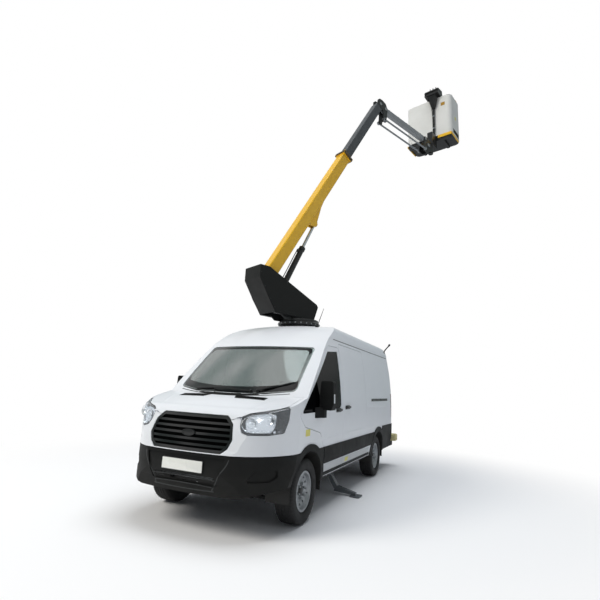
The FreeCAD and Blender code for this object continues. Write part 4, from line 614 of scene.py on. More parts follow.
# A pressed crease: a low rounded rib, its section the square of a cosine across the path,
# which fades out at both ends as the root of a sine
def panelCrease(tree, path, width, rise, direction, steps=9):
    across = np.linspace(-0.5, 0.5, steps)
    fade = np.sin(np.pi * np.clip(np.linspace(0, 1, len(path)), 0.02, 0.98)) ** 0.5
    lift = rise * np.cos(np.pi * across)[None] ** 2 * fade[:, None] - 0.0004
    return panelStrip(tree, path, across * width, lift, direction)


# Directions of the views on the panels: from the front, the rear, above and both sides
forward, backward, down = (0, 1, 0), (0, -1, 0), (0, 0, -1)
inward = {1: (-1, 0, 0), -1: (1, 0, 0)}

# Tyres: the radius is a function of the angle round the axle and the place along the section,
# drawn in by four ring grooves, by slanted cuts at both shoulders and by fine cuts in the ribs
tyrePlan = {"outer": 0.356, "wall": [(0.0885, 0.2215), (0.104, 0.232), (0.115, 0.258),
                                     (0.1172, 0.287), (0.1145, 0.318), (0.106, 0.339),
                                     (0.096, 0.3485)],
            "treadHalf": 0.094, "treadPoints": 64, "crownDrop": 0.0052,
            "grooves": (-0.058, -0.020, 0.020, 0.058), "grooveWide": 0.009, "grooveDeep": 0.008,
            "blocks": 66, "stepsPerBlock": 6, "slant": 6, "shoulder": (0.063, 0.112),
            "grooveEdge": (1.6, 2.2), "shoulderCut": (0.42, 6, 0.85), "ribCut": (0.2, 8, 0.35),
            "cutHalf": 0.0965, "sideBand": (0.236, 0.262), "sideRibs": 180, "sideRib": 0.0006}


# A cut across the tread: its share of the block, its flank's slope and its share of the depth
def treadCut(beat, wide, steep, deep):
    return np.clip((wide - beat) * steep, 0, 1) * deep


# The tread and both walls as one ring, and the strip between its edges that closes it
def tyreParts(centre, side):
    plan = tyrePlan
    wall = smoothPath(plan["wall"], 4)
    tread = np.linspace(plan["treadHalf"], -plan["treadHalf"], plan["treadPoints"])
    crown = plan["outer"] - plan["crownDrop"] * (tread / plan["treadHalf"]) ** 2
    across = np.concatenate([wall[:, 0], tread, -wall[::-1, 0]])
    radius = np.concatenate([wall[:, 1], crown, wall[::-1, 1]])
    angle = np.linspace(0, 2 * np.pi, plan["blocks"] * plan["stepsPerBlock"],
                        endpoint=False)[:, None]
    off = np.abs(across[:, None] - np.array(plan["grooves"])) / plan["grooveWide"]
    top, fall = plan["grooveEdge"]
    groove = np.clip(top - fall * off, 0, 1).max(1)
    onTread = np.abs(across) < plan["cutHalf"]
    phase = angle * plan["blocks"] / (2 * np.pi) + plan["slant"] * np.abs(across)[None]
    beat = np.abs((phase % 1.0) - 0.5) * 2
    inner, outer = plan["shoulder"]
    shoulder = (np.abs(across) > inner) & (np.abs(across) < outer)
    cut = np.where(shoulder, treadCut(beat, *plan["shoulderCut"]),
                   treadCut(beat, *plan["ribCut"])) * (onTread | shoulder)
    reach = radius[None] - np.maximum(groove * onTread, cut) * plan["grooveDeep"]
    low, high = plan["sideBand"]
    ribs = plan["sideRib"] * np.cos(angle * plan["sideRibs"]) * ((radius > low) & (radius < high))
    x = centre[0] + side * (across + ribs * np.sign(across))
    grid = pointsOf(x, centre[1] + reach * np.sin(angle), centre[2] + reach * np.cos(angle))
    return [gridPart(grid, closeRows=True), gridPart(grid[:, [-1, 0]], closeRows=True)]


# Wheel nuts on their circle, the hub's cap and the valve; profiles are (along axle, radius)
hubPlan = {"circle": 0.077, "count": 6, "firstNut": 0.3, "nutFace": 0.0525, "capFace": 0.0405,
           "nut": [(0, 0.0155), (0.004, 0.0155), (0.006, 0.0135), (0.026, 0.0125),
                   (0.030, 0.009)],
           "cap": [(0.0, 0.058), (0.003, 0.058), (0.016, 0.052), (0.028, 0.040), (0.031, 0.026),
                   (0.031, 0.004)],
           "valve": [(0.06, 0.158, -0.05), (0.07, 0.152, -0.05), (0.08, 0.146, -0.05)],
           "valveRadius": 0.0045}


# Nuts at even angles round the axle, and the cap with the valve
def hubParts(centre, side):
    plan = hubPlan
    turn = np.linspace(0, 2 * np.pi, plan["count"], endpoint=False) + plan["firstNut"]
    places = np.array(centre) + pointsOf(side * plan["nutFace"], plan["circle"] * np.cos(turn),
                                         plan["circle"] * np.sin(turn))
    nuts = [spun(plan["nut"], place, (side, 0, 0), 6) for place in places]
    cap = spun(plan["cap"], np.array(centre) + (side * plan["capFace"], 0, 0), (side, 0, 0), 40)
    valve = carry(circleLoop(plan["valveRadius"], 8),
                  np.array(centre) + np.array(plan["valve"]) * (side, 1, 1))
    return nuts, [cap, valve]


wheelPlan = {"half": 0.87, "level": 0.356, "axles": (("front", 0.0), ("rear", 3.3))}
for end, along in wheelPlan["axles"]:
    for side, label in sides:
        name = f"{end}_{label}"
        centre = (side * wheelPlan["half"], along, wheelPlan["level"])
        tyre = makePiece(f"treadedTyre_{name}", tyreParts(centre, side), f"wheel_{name}",
                         "tyreRubber", smooth=50)
        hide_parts(f"tyre_{name}")
        nuts, cap = hubParts(centre, side)
        makePiece(f"wheelNuts_{name}", nuts, f"wheel_{name}", "zincSteel", smooth=25)
        makePiece(f"hubCap_{name}", cap, f"wheel_{name}", "blackAbs")
print("wheels made")

# Front of the van. The panels' own surfaces carry what lies on them
glassTree = panelTree("windscreen")
bonnetTree = panelTree("bonnet")
bumperTree = panelTree("front_bumper")
lampTree = panelTree("headlamps", "front_body", "bonnet")
noseTree = panelTree("front_body", "bonnet", "front_bumper", "windscreen", "roof_panel",
                     "headlamps", "grille")


# Points of the front view laid on a panel of the nose
def onNose(tree, x, z, rise):
    return onPanel(tree, pointsOf(x, -2.0, z), forward, rise)


# Windscreen: printed black band inside the edge, wider at the foot
screenPlan = {"low": (0.842, 1.475), "top": (0.812, 2.048), "round": 0.055, "bow": 0.055,
              "bowHalf": 0.84, "band": 0.034, "foot": 0.075, "bowPoints": 41, "cornerPoints": 10,
              "lift": (0.0004, 0.0012, 0.0012, 0.0)}


# Outline in front view: a parabola at the foot, straight sides and quarter-circle corners
def screenLoop(inset, footInset):
    plan = screenPlan
    corner = plan["round"]
    lowX, lowZ = plan["low"][0] - inset, plan["low"][1] + footInset
    topX, topZ = plan["top"][0] - inset, plan["top"][1] - inset
    turn = np.linspace(0, np.pi / 2, plan["cornerPoints"])
    bow = np.linspace(-1, 1, plan["bowPoints"])[1:-1]
    foot = np.stack([bow * (lowX - corner),
                     lowZ - plan["bow"] * (1 - bow ** 2) * (lowX / plan["bowHalf"])], -1)
    right = np.stack([lowX - corner + corner * np.sin(turn),
                      lowZ + corner - corner * np.cos(turn)], -1)
    topRight = np.stack([topX - corner + corner * np.cos(turn),
                         topZ - corner + corner * np.sin(turn)], -1)
    top = np.stack([-bow * (topX - corner), np.full(len(bow), topZ)], -1)
    return np.concatenate([foot, right, topRight, top, topRight[::-1] * (-1, 1),
                           right[::-1] * (-1, 1)])


outerLoop, innerLoop = screenLoop(0.0, 0.0), screenLoop(screenPlan["band"], screenPlan["foot"])
share = np.linspace(0, 1, 4)[None, :, None]
band = (1 - share) * outerLoop[:, None] + share * innerLoop[:, None]
grid = onNose(glassTree, band[..., 0], band[..., 1], screenPlan["lift"])
makePiece("screenBand", [gridPart(grid, closeRows=True)], "van", "printedGlassBand")

# Bonnet's two air slots by the cowl: black mouldings with slats
slotPlan = {"corners": [(0.225, -0.452), (0.612, -0.428), (0.610, -0.338), (0.170, -0.352)],
            "slats": 4, "slatSpots": (0.14, 0.86), "slatEnds": (0.04, 0.96), "slatWide": 0.009,
            "rise": 0.0022, "slatRise": 0.0062}
slotParts, slatParts = [], []
for side, _ in sides:
    a, b, c, d = corners = np.array([(side * x, y, 3.0) for x, y in slotPlan["corners"]])
    slotParts.append(panelPatch(bonnetTree, corners, down, slotPlan["rise"], (30, 8)))
    for t in np.linspace(*slotPlan["slatSpots"], slotPlan["slats"]):
        start, end = (1 - t) * a + t * d, (1 - t) * b + t * c
        run = start + np.linspace(*slotPlan["slatEnds"], 20)[:, None] * (end - start)
        slatParts.append(panelRibbon(bonnetTree, run, slotPlan["slatWide"], down,
                                     slotPlan["slatRise"], sink=0.0))
makePiece("bonnetSlots", slotParts, "bonnet", "blackAbs")
makePiece("bonnetSlotSlats", slatParts, "bonnet", "grainedPolypropylene")

# Two creases that run up the bonnet from the grille's corners
bonnetCreasePlan = {"path": [(0.55, -0.86, 3), (0.62, -0.70, 3), (0.70, -0.50, 3),
                             (0.75, -0.33, 3)], "wide": 0.07, "rise": 0.004}
creases = [panelCrease(bonnetTree,
                       smoothPath(np.array(bonnetCreasePlan["path"]) * (side, 1, 1), 10),
                       bonnetCreasePlan["wide"], bonnetCreasePlan["rise"], down)
           for side, _ in sides]
makePiece("bonnetCreases", creases, "bonnet", "whiteLacquer", smooth=60)

# Number plate, blank, on its carrier
platePlan = {"wide": 0.52, "high": 0.111, "level": 0.6735, "rise": 0.0035, "round": 0.008,
             "carrierEdge": 0.014, "carrierRise": 0.0015, "carrierRound": 0.012, "lip": 0.004}


# A flat plate with a bevelled rim, that stands `rise` in front of the bumper's face
def platePart(wide, high, rise, radius):
    level = platePlan["level"]
    loop = roundedLoop(wide, high, radius, 5)
    inner = loop * (1 - platePlan["lip"] / wide)
    base = onNose(bumperTree, np.linspace(-wide / 2, wide / 2, 9), level, 0.0)[:, 1].min()
    rings = [pointsOf(shape[:, 0], base - depth, shape[:, 1] + level)
             for shape, depth in ((loop, -0.02), (loop, rise - 0.001), (inner, rise))]
    return gridPart(np.array(rings), closeColumns=True, ends=True)


wide, high, edge = (platePlan[key] for key in ("wide", "high", "carrierEdge"))
carrier = platePart(wide + edge, high + edge, platePlan["carrierRise"], platePlan["carrierRound"])
makePiece("plateCarrier", [carrier], "van", "blackAbs")
makePiece("numberPlate", [platePart(wide, high, platePlan["rise"], platePlan["round"])], "van",
          "platePlastic")

# Bumper: the raised edge round its middle bay, and two bars across the lower opening.
# A bar's depth is the bumper's own, smoothed to a polynomial of its place across
bayPlan = {"edge": [(0.545, 0.768), (0.515, 0.70), (0.435, 0.590), (0.366, 0.462),
                    (0.330, 0.447)],
           "wide": 0.016, "rise": 0.004, "bars": ((0.566, 0.405), (0.500, 0.372)),
           "thick": 0.010, "sag": 0.012, "out": 0.002}
half = np.array(bayPlan["edge"])
path = np.concatenate([half * (-1, 1), half[::-1]])
path = smoothPath(pointsOf(path[:, 0], -2.0, path[:, 1]), 8)
bars = [panelCrease(bumperTree, path, bayPlan["wide"], bayPlan["rise"], forward, 7)]
for level, reach in bayPlan["bars"]:
    x = np.linspace(-reach, reach, 41)
    run = onNose(bumperTree, x, level - bayPlan["sag"] * (x / reach) ** 2, 0.0)
    run[:, 1] = np.polyval(np.polyfit(x, run[:, 1], 4), x) - bayPlan["out"]
    bars.append(carry(roundedLoop(0.010, bayPlan["thick"], 0.003, 3), run))
# the bay's edge and the bars are a shade paler than the bumper, a painted highlight
makePiece("bumperBars", bars, "van", "edgeHighlightPlastic", smooth=60)

# Grille: a fine mesh behind the bars, near black and matt as painted shade for the dark behind
# them. Its surface is the nose's curve, fitted as a polynomial in the two directions, set back,
# with a wave in both for the mesh
grillePlan = {"set": -0.9445, "bow": (0.1682, -0.1491), "lean": (0.312, 0.2498), "back": 0.040,
              "outline": [(0.44, 0.814), (0.508, 0.868), (0.545, 0.955), (0.512, 1.112),
                          (0.425, 1.186)], "cell": 0.012, "wave": 0.0022, "middle": (0.0, 1.0),
              "rings": 34, "oval": (0.088, 0.036), "ovalPlace": (-0.951, 0.993),
              "ovalRings": [(1.0, -0.02), (1.0, 0.006), (0.96, 0.010), (0.86, 0.010),
                            (0.83, 0.007), (0.4, 0.009), (0.02, 0.0095)]}


# The nose's depth: even powers of the place across, and a parabola of the level
def noseDepth(x, z):
    bow, lean = grillePlan["bow"], grillePlan["lean"]
    return (grillePlan["set"] + bow[0] * x ** 2 + bow[1] * x ** 4 + lean[0] * (z - 1)
            + lean[1] * (z - 1) ** 2)


# An outline cut up finely, its corners rounded by averaging neighbours round the loop
def softOutline(points, passes, spacing=0.012):
    points = np.asarray(points, float)
    runs = []
    for start, end in zip(points, np.roll(points, -1, 0)):
        count = max(int(np.linalg.norm(end - start) / spacing), 1)
        runs.append(start + np.arange(count)[:, None] / count * (end - start))
    loop = np.concatenate(runs)
    for _ in range(passes):
        loop = (np.roll(loop, 1, 0) + 2 * loop + np.roll(loop, -1, 0)) / 4
    return loop


half = np.array(grillePlan["outline"])
grilleLoop = softOutline(np.concatenate([half, half[::-1] * (-1, 1)]), 6)
middle = np.array(grillePlan["middle"])
rings = np.linspace(0.0, 0.985, grillePlan["rings"])[1:, None, None]
x, z = np.moveaxis(middle + rings * (grilleLoop - middle)[None], -1, 0)
cells = 2 * np.pi / grillePlan["cell"]
wave = grillePlan["wave"] * np.sin(x * cells) * np.sin(z * cells)
grid = pointsOf(x, noseDepth(x, z) + grillePlan["back"] + wave, z)
makePiece("grilleMesh", [gridPart(grid, closeColumns=True)], "van", "grilleShadeBlack", smooth=80)

# Grille's bare oval
ovalDepth, ovalLevel = grillePlan["ovalPlace"]
oval = circleLoop(1.0, 48) * grillePlan["oval"]
rings = [pointsOf(size * oval[:, 0], ovalDepth - depth, ovalLevel + size * oval[:, 1])
         for size, depth in grillePlan["ovalRings"]]
makePiece("grilleOval", [gridPart(np.array(rings), closeColumns=True, ends=True)], "van",
          "blackAbs")

# Headlamps: clear lens over a dark bowl with two dished reflectors, bulbs and a row of cups.
# Each skin is the outline drawn in towards its middle, laid on the wing's surface at a depth:
# its rings are (share of the outline, depth), and profiles are (along the axis, radius)
lampPlan = {
    "outline": [(0.590, 1.090), (0.620, 1.030), (0.690, 1.008), (0.860, 1.010), (0.962, 1.030),
                (0.985, 1.160), (0.992, 1.310), (0.905, 1.276), (0.800, 1.248), (0.655, 1.220),
                (0.584, 1.180)],
    "middle": (0.80, 1.130),
    "lens": [(0.02, 0.0008), (0.3, 0.0008), (0.55, 0.0008), (0.75, 0.0008), (0.88, 0.0008),
             (0.95, 0.0008), (0.985, 0.0014), (0.985, 0.0050), (0.95, 0.0038), (0.88, 0.0038),
             (0.75, 0.0038), (0.55, 0.0038), (0.3, 0.0038), (0.02, 0.0038)],
    "bowl": [(0.02, 0.040), (0.35, 0.040), (0.6, 0.039), (0.78, 0.036), (0.88, 0.026),
             (0.94, 0.012), (0.975, 0.0052), (0.99, 0.0046), (0.99, 0.030), (0.95, 0.043),
             (0.6, 0.043), (0.02, 0.043)],
    "dishes": [((0.686, 1.128), 0.055), ((0.852, 1.165), 0.062)], "dishDeep": 0.041,
    "dish": [(0.003, 0.3), (0.008, 0.55), (0.015, 0.76), (0.024, 0.93), (0.029, 0.99),
             (0.0295, 1.04), (0.022, 1.03), (0.0, 0.9)],
    "bulb": [(0.0, 0.010), (0.010, 0.0105), (0.018, 0.0085), (0.0205, 0.002)],
    "cap": [(0.0205, 0.0135), (0.022, 0.014), (0.024, 0.010), (0.0245, 0.002)],
    "cups": np.linspace(0.67, 0.925, 9), "cupLevel": 1.046, "cupDeep": 0.028,
    "cup": [(0.001, 0.002), (0.004, 0.008), (0.010, 0.0125), (0.011, 0.0135), (0.0, 0.012)],
    "shade": [(0.602, 1.095), (0.632, 1.052), (0.70, 1.034), (0.875, 1.036), (0.900, 1.10),
              (0.905, 1.225), (0.80, 1.224), (0.66, 1.200), (0.598, 1.168)],
    "shadeDeep": 0.034, "shadeEdge": 0.012, "flute": 0.014, "fluteHigh": 0.0018,
    "dishAxis": (0.22, -1.0, 0.06), "cupAxis": (0.25, -1.0, -0.1),
    "ribs": (1.125, 1.165, 1.205, 1.245), "ribAcross": (0.915, 0.976), "ribBase": 1.12,
    "ribLean": 0.1, "ribClimb": 0.012, "ribWide": 0.010, "ribTop": -0.012, "ribFoot": 0.030}


# An outline drawn in towards a middle by shares, laid on the lamp's surface
def lampSkin(side, loop, middle, shares, rise, ends):
    flat = middle + np.asarray(shares)[:, None, None] * (loop - middle)[None]
    return gridPart(onNose(lampTree, side * flat[..., 0], flat[..., 1], rise),
                    closeColumns=True, ends=ends)


# One closed skin of the lamp: the whole outline at the rings' shares and depths
def lampShell(side, rings):
    shares, depths = np.array(rings).T
    return lampSkin(side, softOutline(lampPlan["outline"], 5), np.array(lampPlan["middle"]),
                    shares, -depths[:, None], ends=True)


# Dishes and cups turned about their own axes, with their feet on the bowl
def lampReflectors(side):
    plan = lampPlan
    bright, bulbs = [], []
    for (x, z), size in plan["dishes"]:
        foot = onNose(lampTree, [side * x], z, -plan["dishDeep"])[0]
        axis = plan["dishAxis"] * np.array((side, 1, 1))
        dish = [(0.001, 0.006)] + [(along, share * size) for along, share in plan["dish"]]
        bright += [spun(dish, foot, axis, 40), spun(plan["cap"], foot, axis, 20)]
        bulbs.append(spun(plan["bulb"], foot, axis, 20))
    for x in plan["cups"]:
        foot = onNose(lampTree, [side * x], plan["cupLevel"], -plan["cupDeep"])[0]
        bright.append(spun(plan["cup"], foot, plan["cupAxis"] * np.array((side, 1, 1)), 16))
    # a fluted reflector fills the lamp's inner part behind the dishes: a cosine across it
    edge = softOutline(plan["shade"], 4)
    middle, shares = edge.mean(0), np.linspace(0.02, 1, 16)
    x = middle[0] + shares[:, None] * (edge[:, 0] - middle[0])
    rise = plan["fluteHigh"] * np.cos(x * 2 * np.pi / plan["flute"]) - plan["shadeDeep"]
    rise[-1] = -plan["shadeEdge"]
    bright.append(lampSkin(side, edge, middle, shares, rise, ends=False))
    return bright, bulbs


# Ribs of the lamp's outer part, each lower end nearer the middle
def lampRibs(side):
    plan, share = lampPlan, np.linspace(0, 1, 8)
    inner, outer = plan["ribAcross"]
    ribs = []
    for z in plan["ribs"]:
        x = np.linspace(inner + (z - plan["ribBase"]) * plan["ribLean"], outer, 8)
        run = pointsOf(side * x, -2.0, z + plan["ribClimb"] * share)
        ribs.append(panelRibbon(lampTree, run, plan["ribWide"], forward, plan["ribTop"],
                                sink=plan["ribFoot"]))
    return ribs


for side, label in sides:
    bright, bulbs = lampReflectors(side)
    lensPiece = makePiece(f"lampLens_{label}", [lampShell(side, lampPlan["lens"])], "van",
                          "clearPolycarbonate", smooth=60)
    bowlPiece = makePiece(f"lampBowl_{label}",
                          [lampShell(side, lampPlan["bowl"])] + lampRibs(side), "van",
                          "lampBezel", smooth=50)
    makePiece(f"lampReflectors_{label}", bright, "van", "chromedReflector", smooth=45)
    makePiece(f"lampBulbs_{label}", bulbs, "van", "opalGlass")
    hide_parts("headlamps")
    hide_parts("headlamps")

# Wipers: a tapered arm and a blade that follows the glass; places are (across, level)
wiperPlan = {
    "arms": [[(0.315, 1.448), (0.08, 1.462), (-0.22, 1.458)],
             [(0.40, 1.452), (0.50, 1.492), (0.62, 1.530)]],
    "blades": [[(-0.53, 1.447), (-0.22, 1.467), (0.05, 1.470)],
               [(0.44, 1.472), (0.62, 1.522), (0.80, 1.580)]],
    "arm": (0.019, 0.008), "blade": (0.015, 0.010), "lip": (0.003, 0.011),
    "armRise": ([0, 0.25, 0.8, 1], [0.012, 0.03, 0.03, 0.018]), "bladeRise": 0.013,
    "bladeEnds": ([0, 0.1, 0.9, 1], [0.6, 1, 1, 0.6]), "lipRise": 0.005,
    "pivot": [(-0.03, 0.018), (0.004, 0.018), (0.012, 0.014), (0.016, 0.004)],
    "pivotOff": (0, -0.004, 0.006), "pivotAxis": (0, -0.6, 1), "armTaper": (1.25, 0.8),
    "up": (0, -1, 0.6)}
armParts, bladeParts, lipParts = [], [], []
for arm, blade in zip(wiperPlan["arms"], wiperPlan["blades"]):
    up = wiperPlan["up"]
    x, z = smoothPath(arm, 10).T
    share = np.linspace(0, 1, len(x))
    run = onNose(glassTree, x, z, np.interp(share, *wiperPlan["armRise"]))
    armParts.append(carry(roundedLoop(*wiperPlan["arm"], 0.003, 3), run, up=up,
                          scale=np.linspace(*wiperPlan["armTaper"], len(x))))
    armParts.append(spun(wiperPlan["pivot"], run[0] + wiperPlan["pivotOff"],
                         wiperPlan["pivotAxis"], 20))
    x, z = smoothPath(blade, 12).T
    share = np.linspace(0, 1, len(x))
    bladeParts.append(carry(roundedLoop(*wiperPlan["blade"], 0.003, 3),
                            onNose(glassTree, x, z, wiperPlan["bladeRise"]), up=up,
                            scale=np.interp(share, *wiperPlan["bladeEnds"])))
    lipParts.append(carry(roundedLoop(*wiperPlan["lip"], 0.0012, 3),
                          onNose(glassTree, x, z, wiperPlan["lipRise"]), up=up))
makePiece("wiperArms", armParts, "van", "blackAbs")
makePiece("wiperBlades", bladeParts + lipParts, "van", "tyreRubber")

# Cowl under the windscreen: a black grained strip that follows the screen's foot
cowlPlan = {"half": 0.80, "level": 1.452, "bow": 0.052, "bowHalf": 0.84, "wide": 0.030,
            "rise": 0.0025}
x = np.linspace(-cowlPlan["half"], cowlPlan["half"], 61)
run = pointsOf(x, -2.0, cowlPlan["level"] - cowlPlan["bow"] * (1 - (x / cowlPlan["bowHalf"]) ** 2))
makePiece("cowlStrip", [panelRibbon(noseTree, run, cowlPlan["wide"], forward,
                                    cowlPlan["rise"])], "van", "grainedPolypropylene")
print("front dressed")

# Sides of the van
sideTree = {1: panelTree("side_left", "sliding_door", "door_left", "front_body", "roof_panel"),
            -1: panelTree("side_right", "door_right", "front_body", "roof_panel")}
sillTree = {1: panelTree("side_left"), -1: panelTree("side_right")}
roofTree = panelTree("roof_panel")


# A skin on one side of the van, its four corners given as (along, level)
def sidePatch(tree, side, corners, rise, steps, sink=0.003):
    return panelPatch(tree, [(side * 2, y, z) for y, z in corners], inward[side], rise, steps,
                      sink)


# A level path along one side of the van
def sideRun(side, start, end, level, count):
    return pointsOf(side * 2.0, np.linspace(start, end, count), level)


# Pull handle: a bar that stands off the door as the root of a sine, in a shallow dark cup
handlePlan = {"long": 0.235, "bar": (0.015, 0.034), "near": 0.010, "off": 0.020, "lift": 0.006,
              "barEnds": ([0, 0.08, 0.92, 1], [0.75, 1, 1, 0.75]), "cupRise": 0.0012,
              "cup": [(0.012, -0.026), (0.223, -0.024), (0.223, 0.030), (0.012, 0.028)],
              "cabDoor": (0.875, 1.232), "slidingDoor": (1.28, 1.262)}


# Bar and cup of a handle that starts at a place along the van and a level
def handleParts(side, start, level):
    plan = handlePlan
    share = np.linspace(0, 1, 17)
    run = pointsOf(side * 2.0, start + plan["long"] * share, level + plan["lift"] * share)
    run = onPanel(sideTree[side], run, inward[side],
                  plan["near"] + plan["off"] * np.sin(np.pi * share) ** 0.5)
    bar = carry(roundedLoop(*plan["bar"], 0.007, 4), run,
                scale=np.interp(share, *plan["barEnds"]))
    corners = [(start + y, level + z) for y, z in plan["cup"]]
    return [bar, sidePatch(sideTree[side], side, corners, plan["cupRise"], (14, 5))]


for side, label in sides:
    makePiece(f"doorHandle_{label}", handleParts(side, *handlePlan["cabDoor"]), f"door_{label}",
              "blackAbs")
makePiece("slidingHandle", handleParts(1, *handlePlan["slidingDoor"]), "van", "blackAbs")

# Rail of the sliding door: a sunk strip with a lip above and below
railPlan = {"start": 2.80, "end": 4.07, "level": 1.362, "wide": 0.046, "rise": 0.0018,
            "lip": (0.006, 0.007), "lipAt": (0.017, -0.017), "lipRise": 0.004}
run = sideRun(1, railPlan["start"], railPlan["end"], railPlan["level"], 60)
rail = [panelRibbon(sideTree[1], run, railPlan["wide"], inward[1], railPlan["rise"])]
rail += [carry(roundedLoop(*railPlan["lip"], 0.002, 3),
               onPanel(sideTree[1], run + (0, 0, offset), inward[1], railPlan["lipRise"]))
         for offset in railPlan["lipAt"]]
makePiece("slideRail", rail, "van", "blackAbs")

# Sill: a pale strip between the wheel arches, the dark edge below it, and the filler behind
# the front arch trim
sillPlan = {"strip": [(0.44, 0.490), (2.69, 0.490), (2.69, 0.573), (0.39, 0.573)],
            "edge": [(0.52, 0.4045), (2.79, 0.4045), (2.74, 0.486), (0.48, 0.486)],
            "filler": [(0.425, 0.598), (0.476, 0.598), (0.452, 0.80), (0.395, 0.80)],
            "rise": 0.003, "edgeRise": 0.002}
for side, label in sides:
    strip = sidePatch(sideTree[side], side, sillPlan["strip"], sillPlan["rise"], (60, 5))
    makePiece(f"sillStrip_{label}", [strip], "van", "brushedSillStrip")
for side, label in sides:
    dark = [sidePatch(sillTree[side], side, sillPlan["edge"], sillPlan["edgeRise"], (60, 5)),
            sidePatch(sillTree[side], side, sillPlan["filler"], sillPlan["rise"], (8, 14))]
    makePiece(f"sillEdge_{label}", dark, "van", "grainedPolypropylene")

# Black seal below the gutter
sealPlan = {"start": 1.00, "end": 4.46, "level": 2.232, "wide": 0.011, "rise": 0.0015}
for side, label in sides:
    run = sideRun(side, sealPlan["start"], sealPlan["end"], sealPlan["level"], 90)
    makePiece(f"gutterSeal_{label}", [panelRibbon(sideTree[side], run, sealPlan["wide"],
                                                  inward[side], sealPlan["rise"])], "van",
              "blackAbs")

# Pressed creases along the sides, as (start, end, level, width, body): one at the waist of the
# load space, and a lower line along the doors and behind them
creasePlan = {
    1: [(2.50, 4.36, 1.245, 0.06, "van"), (1.26, 2.38, 0.905, 0.05, "van"),
        (0.22, 1.12, 0.905, 0.05, "door_left"), (2.50, 2.92, 0.905, 0.05, "van")],
    -1: [(1.30, 4.36, 1.245, 0.06, "van"), (0.22, 1.12, 0.905, 0.05, "door_right"),
         (1.30, 2.92, 0.905, 0.05, "van")],
    "rise": 0.0045}
for side, label in sides:
    for index, (start, end, level, wide, body) in enumerate(creasePlan[side]):
        crease = panelCrease(sideTree[side], sideRun(side, start, end, level, 50), wide,
                             creasePlan["rise"], inward[side])
        makePiece(f"sideCrease_{label}_{index}", [crease], body, "whiteLacquer", smooth=60)

# Blank pale yellow labels on the wing and on the sill
labelPlan = [{"place": (-0.16, 0.972), "size": (0.13, 0.075), "rise": 0.0008},
             {"place": (1.37, 0.505), "size": (0.15, 0.055), "rise": 0.0038}]
for index, plan in enumerate(labelPlan):
    (y, z), (wide, high) = plan["place"], plan["size"]
    corners = [(y, z), (y + wide, z), (y + wide, z + high), (y, z + high)]
    patch = sidePatch(sideTree[1], 1, corners, plan["rise"], (12, 8), sink=0.0)
    makePiece(f"blankLabel_{index}", [patch], "van", "yellowLabelFilm")

# Aerial on the roof's front edge: a moulded foot and a tapered whip
aerialPlan = {"foot": (0.543, 1.251), "lean": (0.065, 0.10, 0.31), "radius": 0.0055,
              "taper": (1.3, 0.6),
              "base": [(-0.01, 0.030), (0.006, 0.030), (0.02, 0.019), (0.036, 0.009)]}
foot = onPanel(roofTree, np.array([[*aerialPlan["foot"], 4.0]]), down, 0.0)[0]
whip = foot + np.linspace(0, 1, 9)[:, None] * np.array(aerialPlan["lean"])
makePiece("aerial", [spun(aerialPlan["base"], foot, aerialPlan["lean"], 24),
                     carry(circleLoop(aerialPlan["radius"], 10), whip,
                           scale=np.linspace(*aerialPlan["taper"], 9))], "van", "blackAbs")

# Roof: pressed ribs behind the turret, flat on top, that fade out at both ends
ribPlan = {"start": 2.28, "end": 4.30, "wide": 0.075, "places": (-0.52, -0.26, 0.0, 0.26, 0.52),
           "across": (-0.5, -0.34, -0.2, 0.2, 0.34, 0.5), "fade": 0.08, "sink": 0.0004,
           "lift": (-0.0005, 0.002, 0.006, 0.006, 0.002, -0.0005)}
run = np.linspace(ribPlan["start"], ribPlan["end"], 40)[:, None]
fade = np.clip(np.minimum(run - ribPlan["start"], ribPlan["end"] - run) / ribPlan["fade"], 0, 1)
lift = np.array(ribPlan["lift"]) * fade - ribPlan["sink"]
across = np.array(ribPlan["across"]) * ribPlan["wide"]
ribs = [gridPart(onPanel(roofTree, pointsOf(x + across, run, 4.0), down, lift))
        for x in ribPlan["places"]]
makePiece("roofRibs", ribs, "van", "whiteLacquer", smooth=60)

# Lamp on a curved arm at the roof's rear left corner
armPlan = {"path": [(0.862, 4.42, 2.36), (0.885, 4.44, 2.41), (0.93, 4.452, 2.47),
                    (0.975, 4.46, 2.52)], "radius": 0.013,
           "foot": ((0.835, 4.38, 2.33), (0.885, 4.46, 2.375)), "footRound": 0.012,
           "lamp": [(0, 0.016), (0.01, 0.021), (0.04, 0.021), (0.048, 0.014)],
           "lampPlace": (0.968, 4.459, 2.512), "lampAxis": (0.5, 0.1, 0.86)}
makePiece("cornerLampArm",
          [carry(circleLoop(armPlan["radius"], 12), smoothPath(armPlan["path"], 6), up=(0, 1, 0)),
           softBlock(*armPlan["foot"], armPlan["footRound"]),
           spun(armPlan["lamp"], armPlan["lampPlace"], armPlan["lampAxis"], 20)], "van",
          "blackPowderCoat")

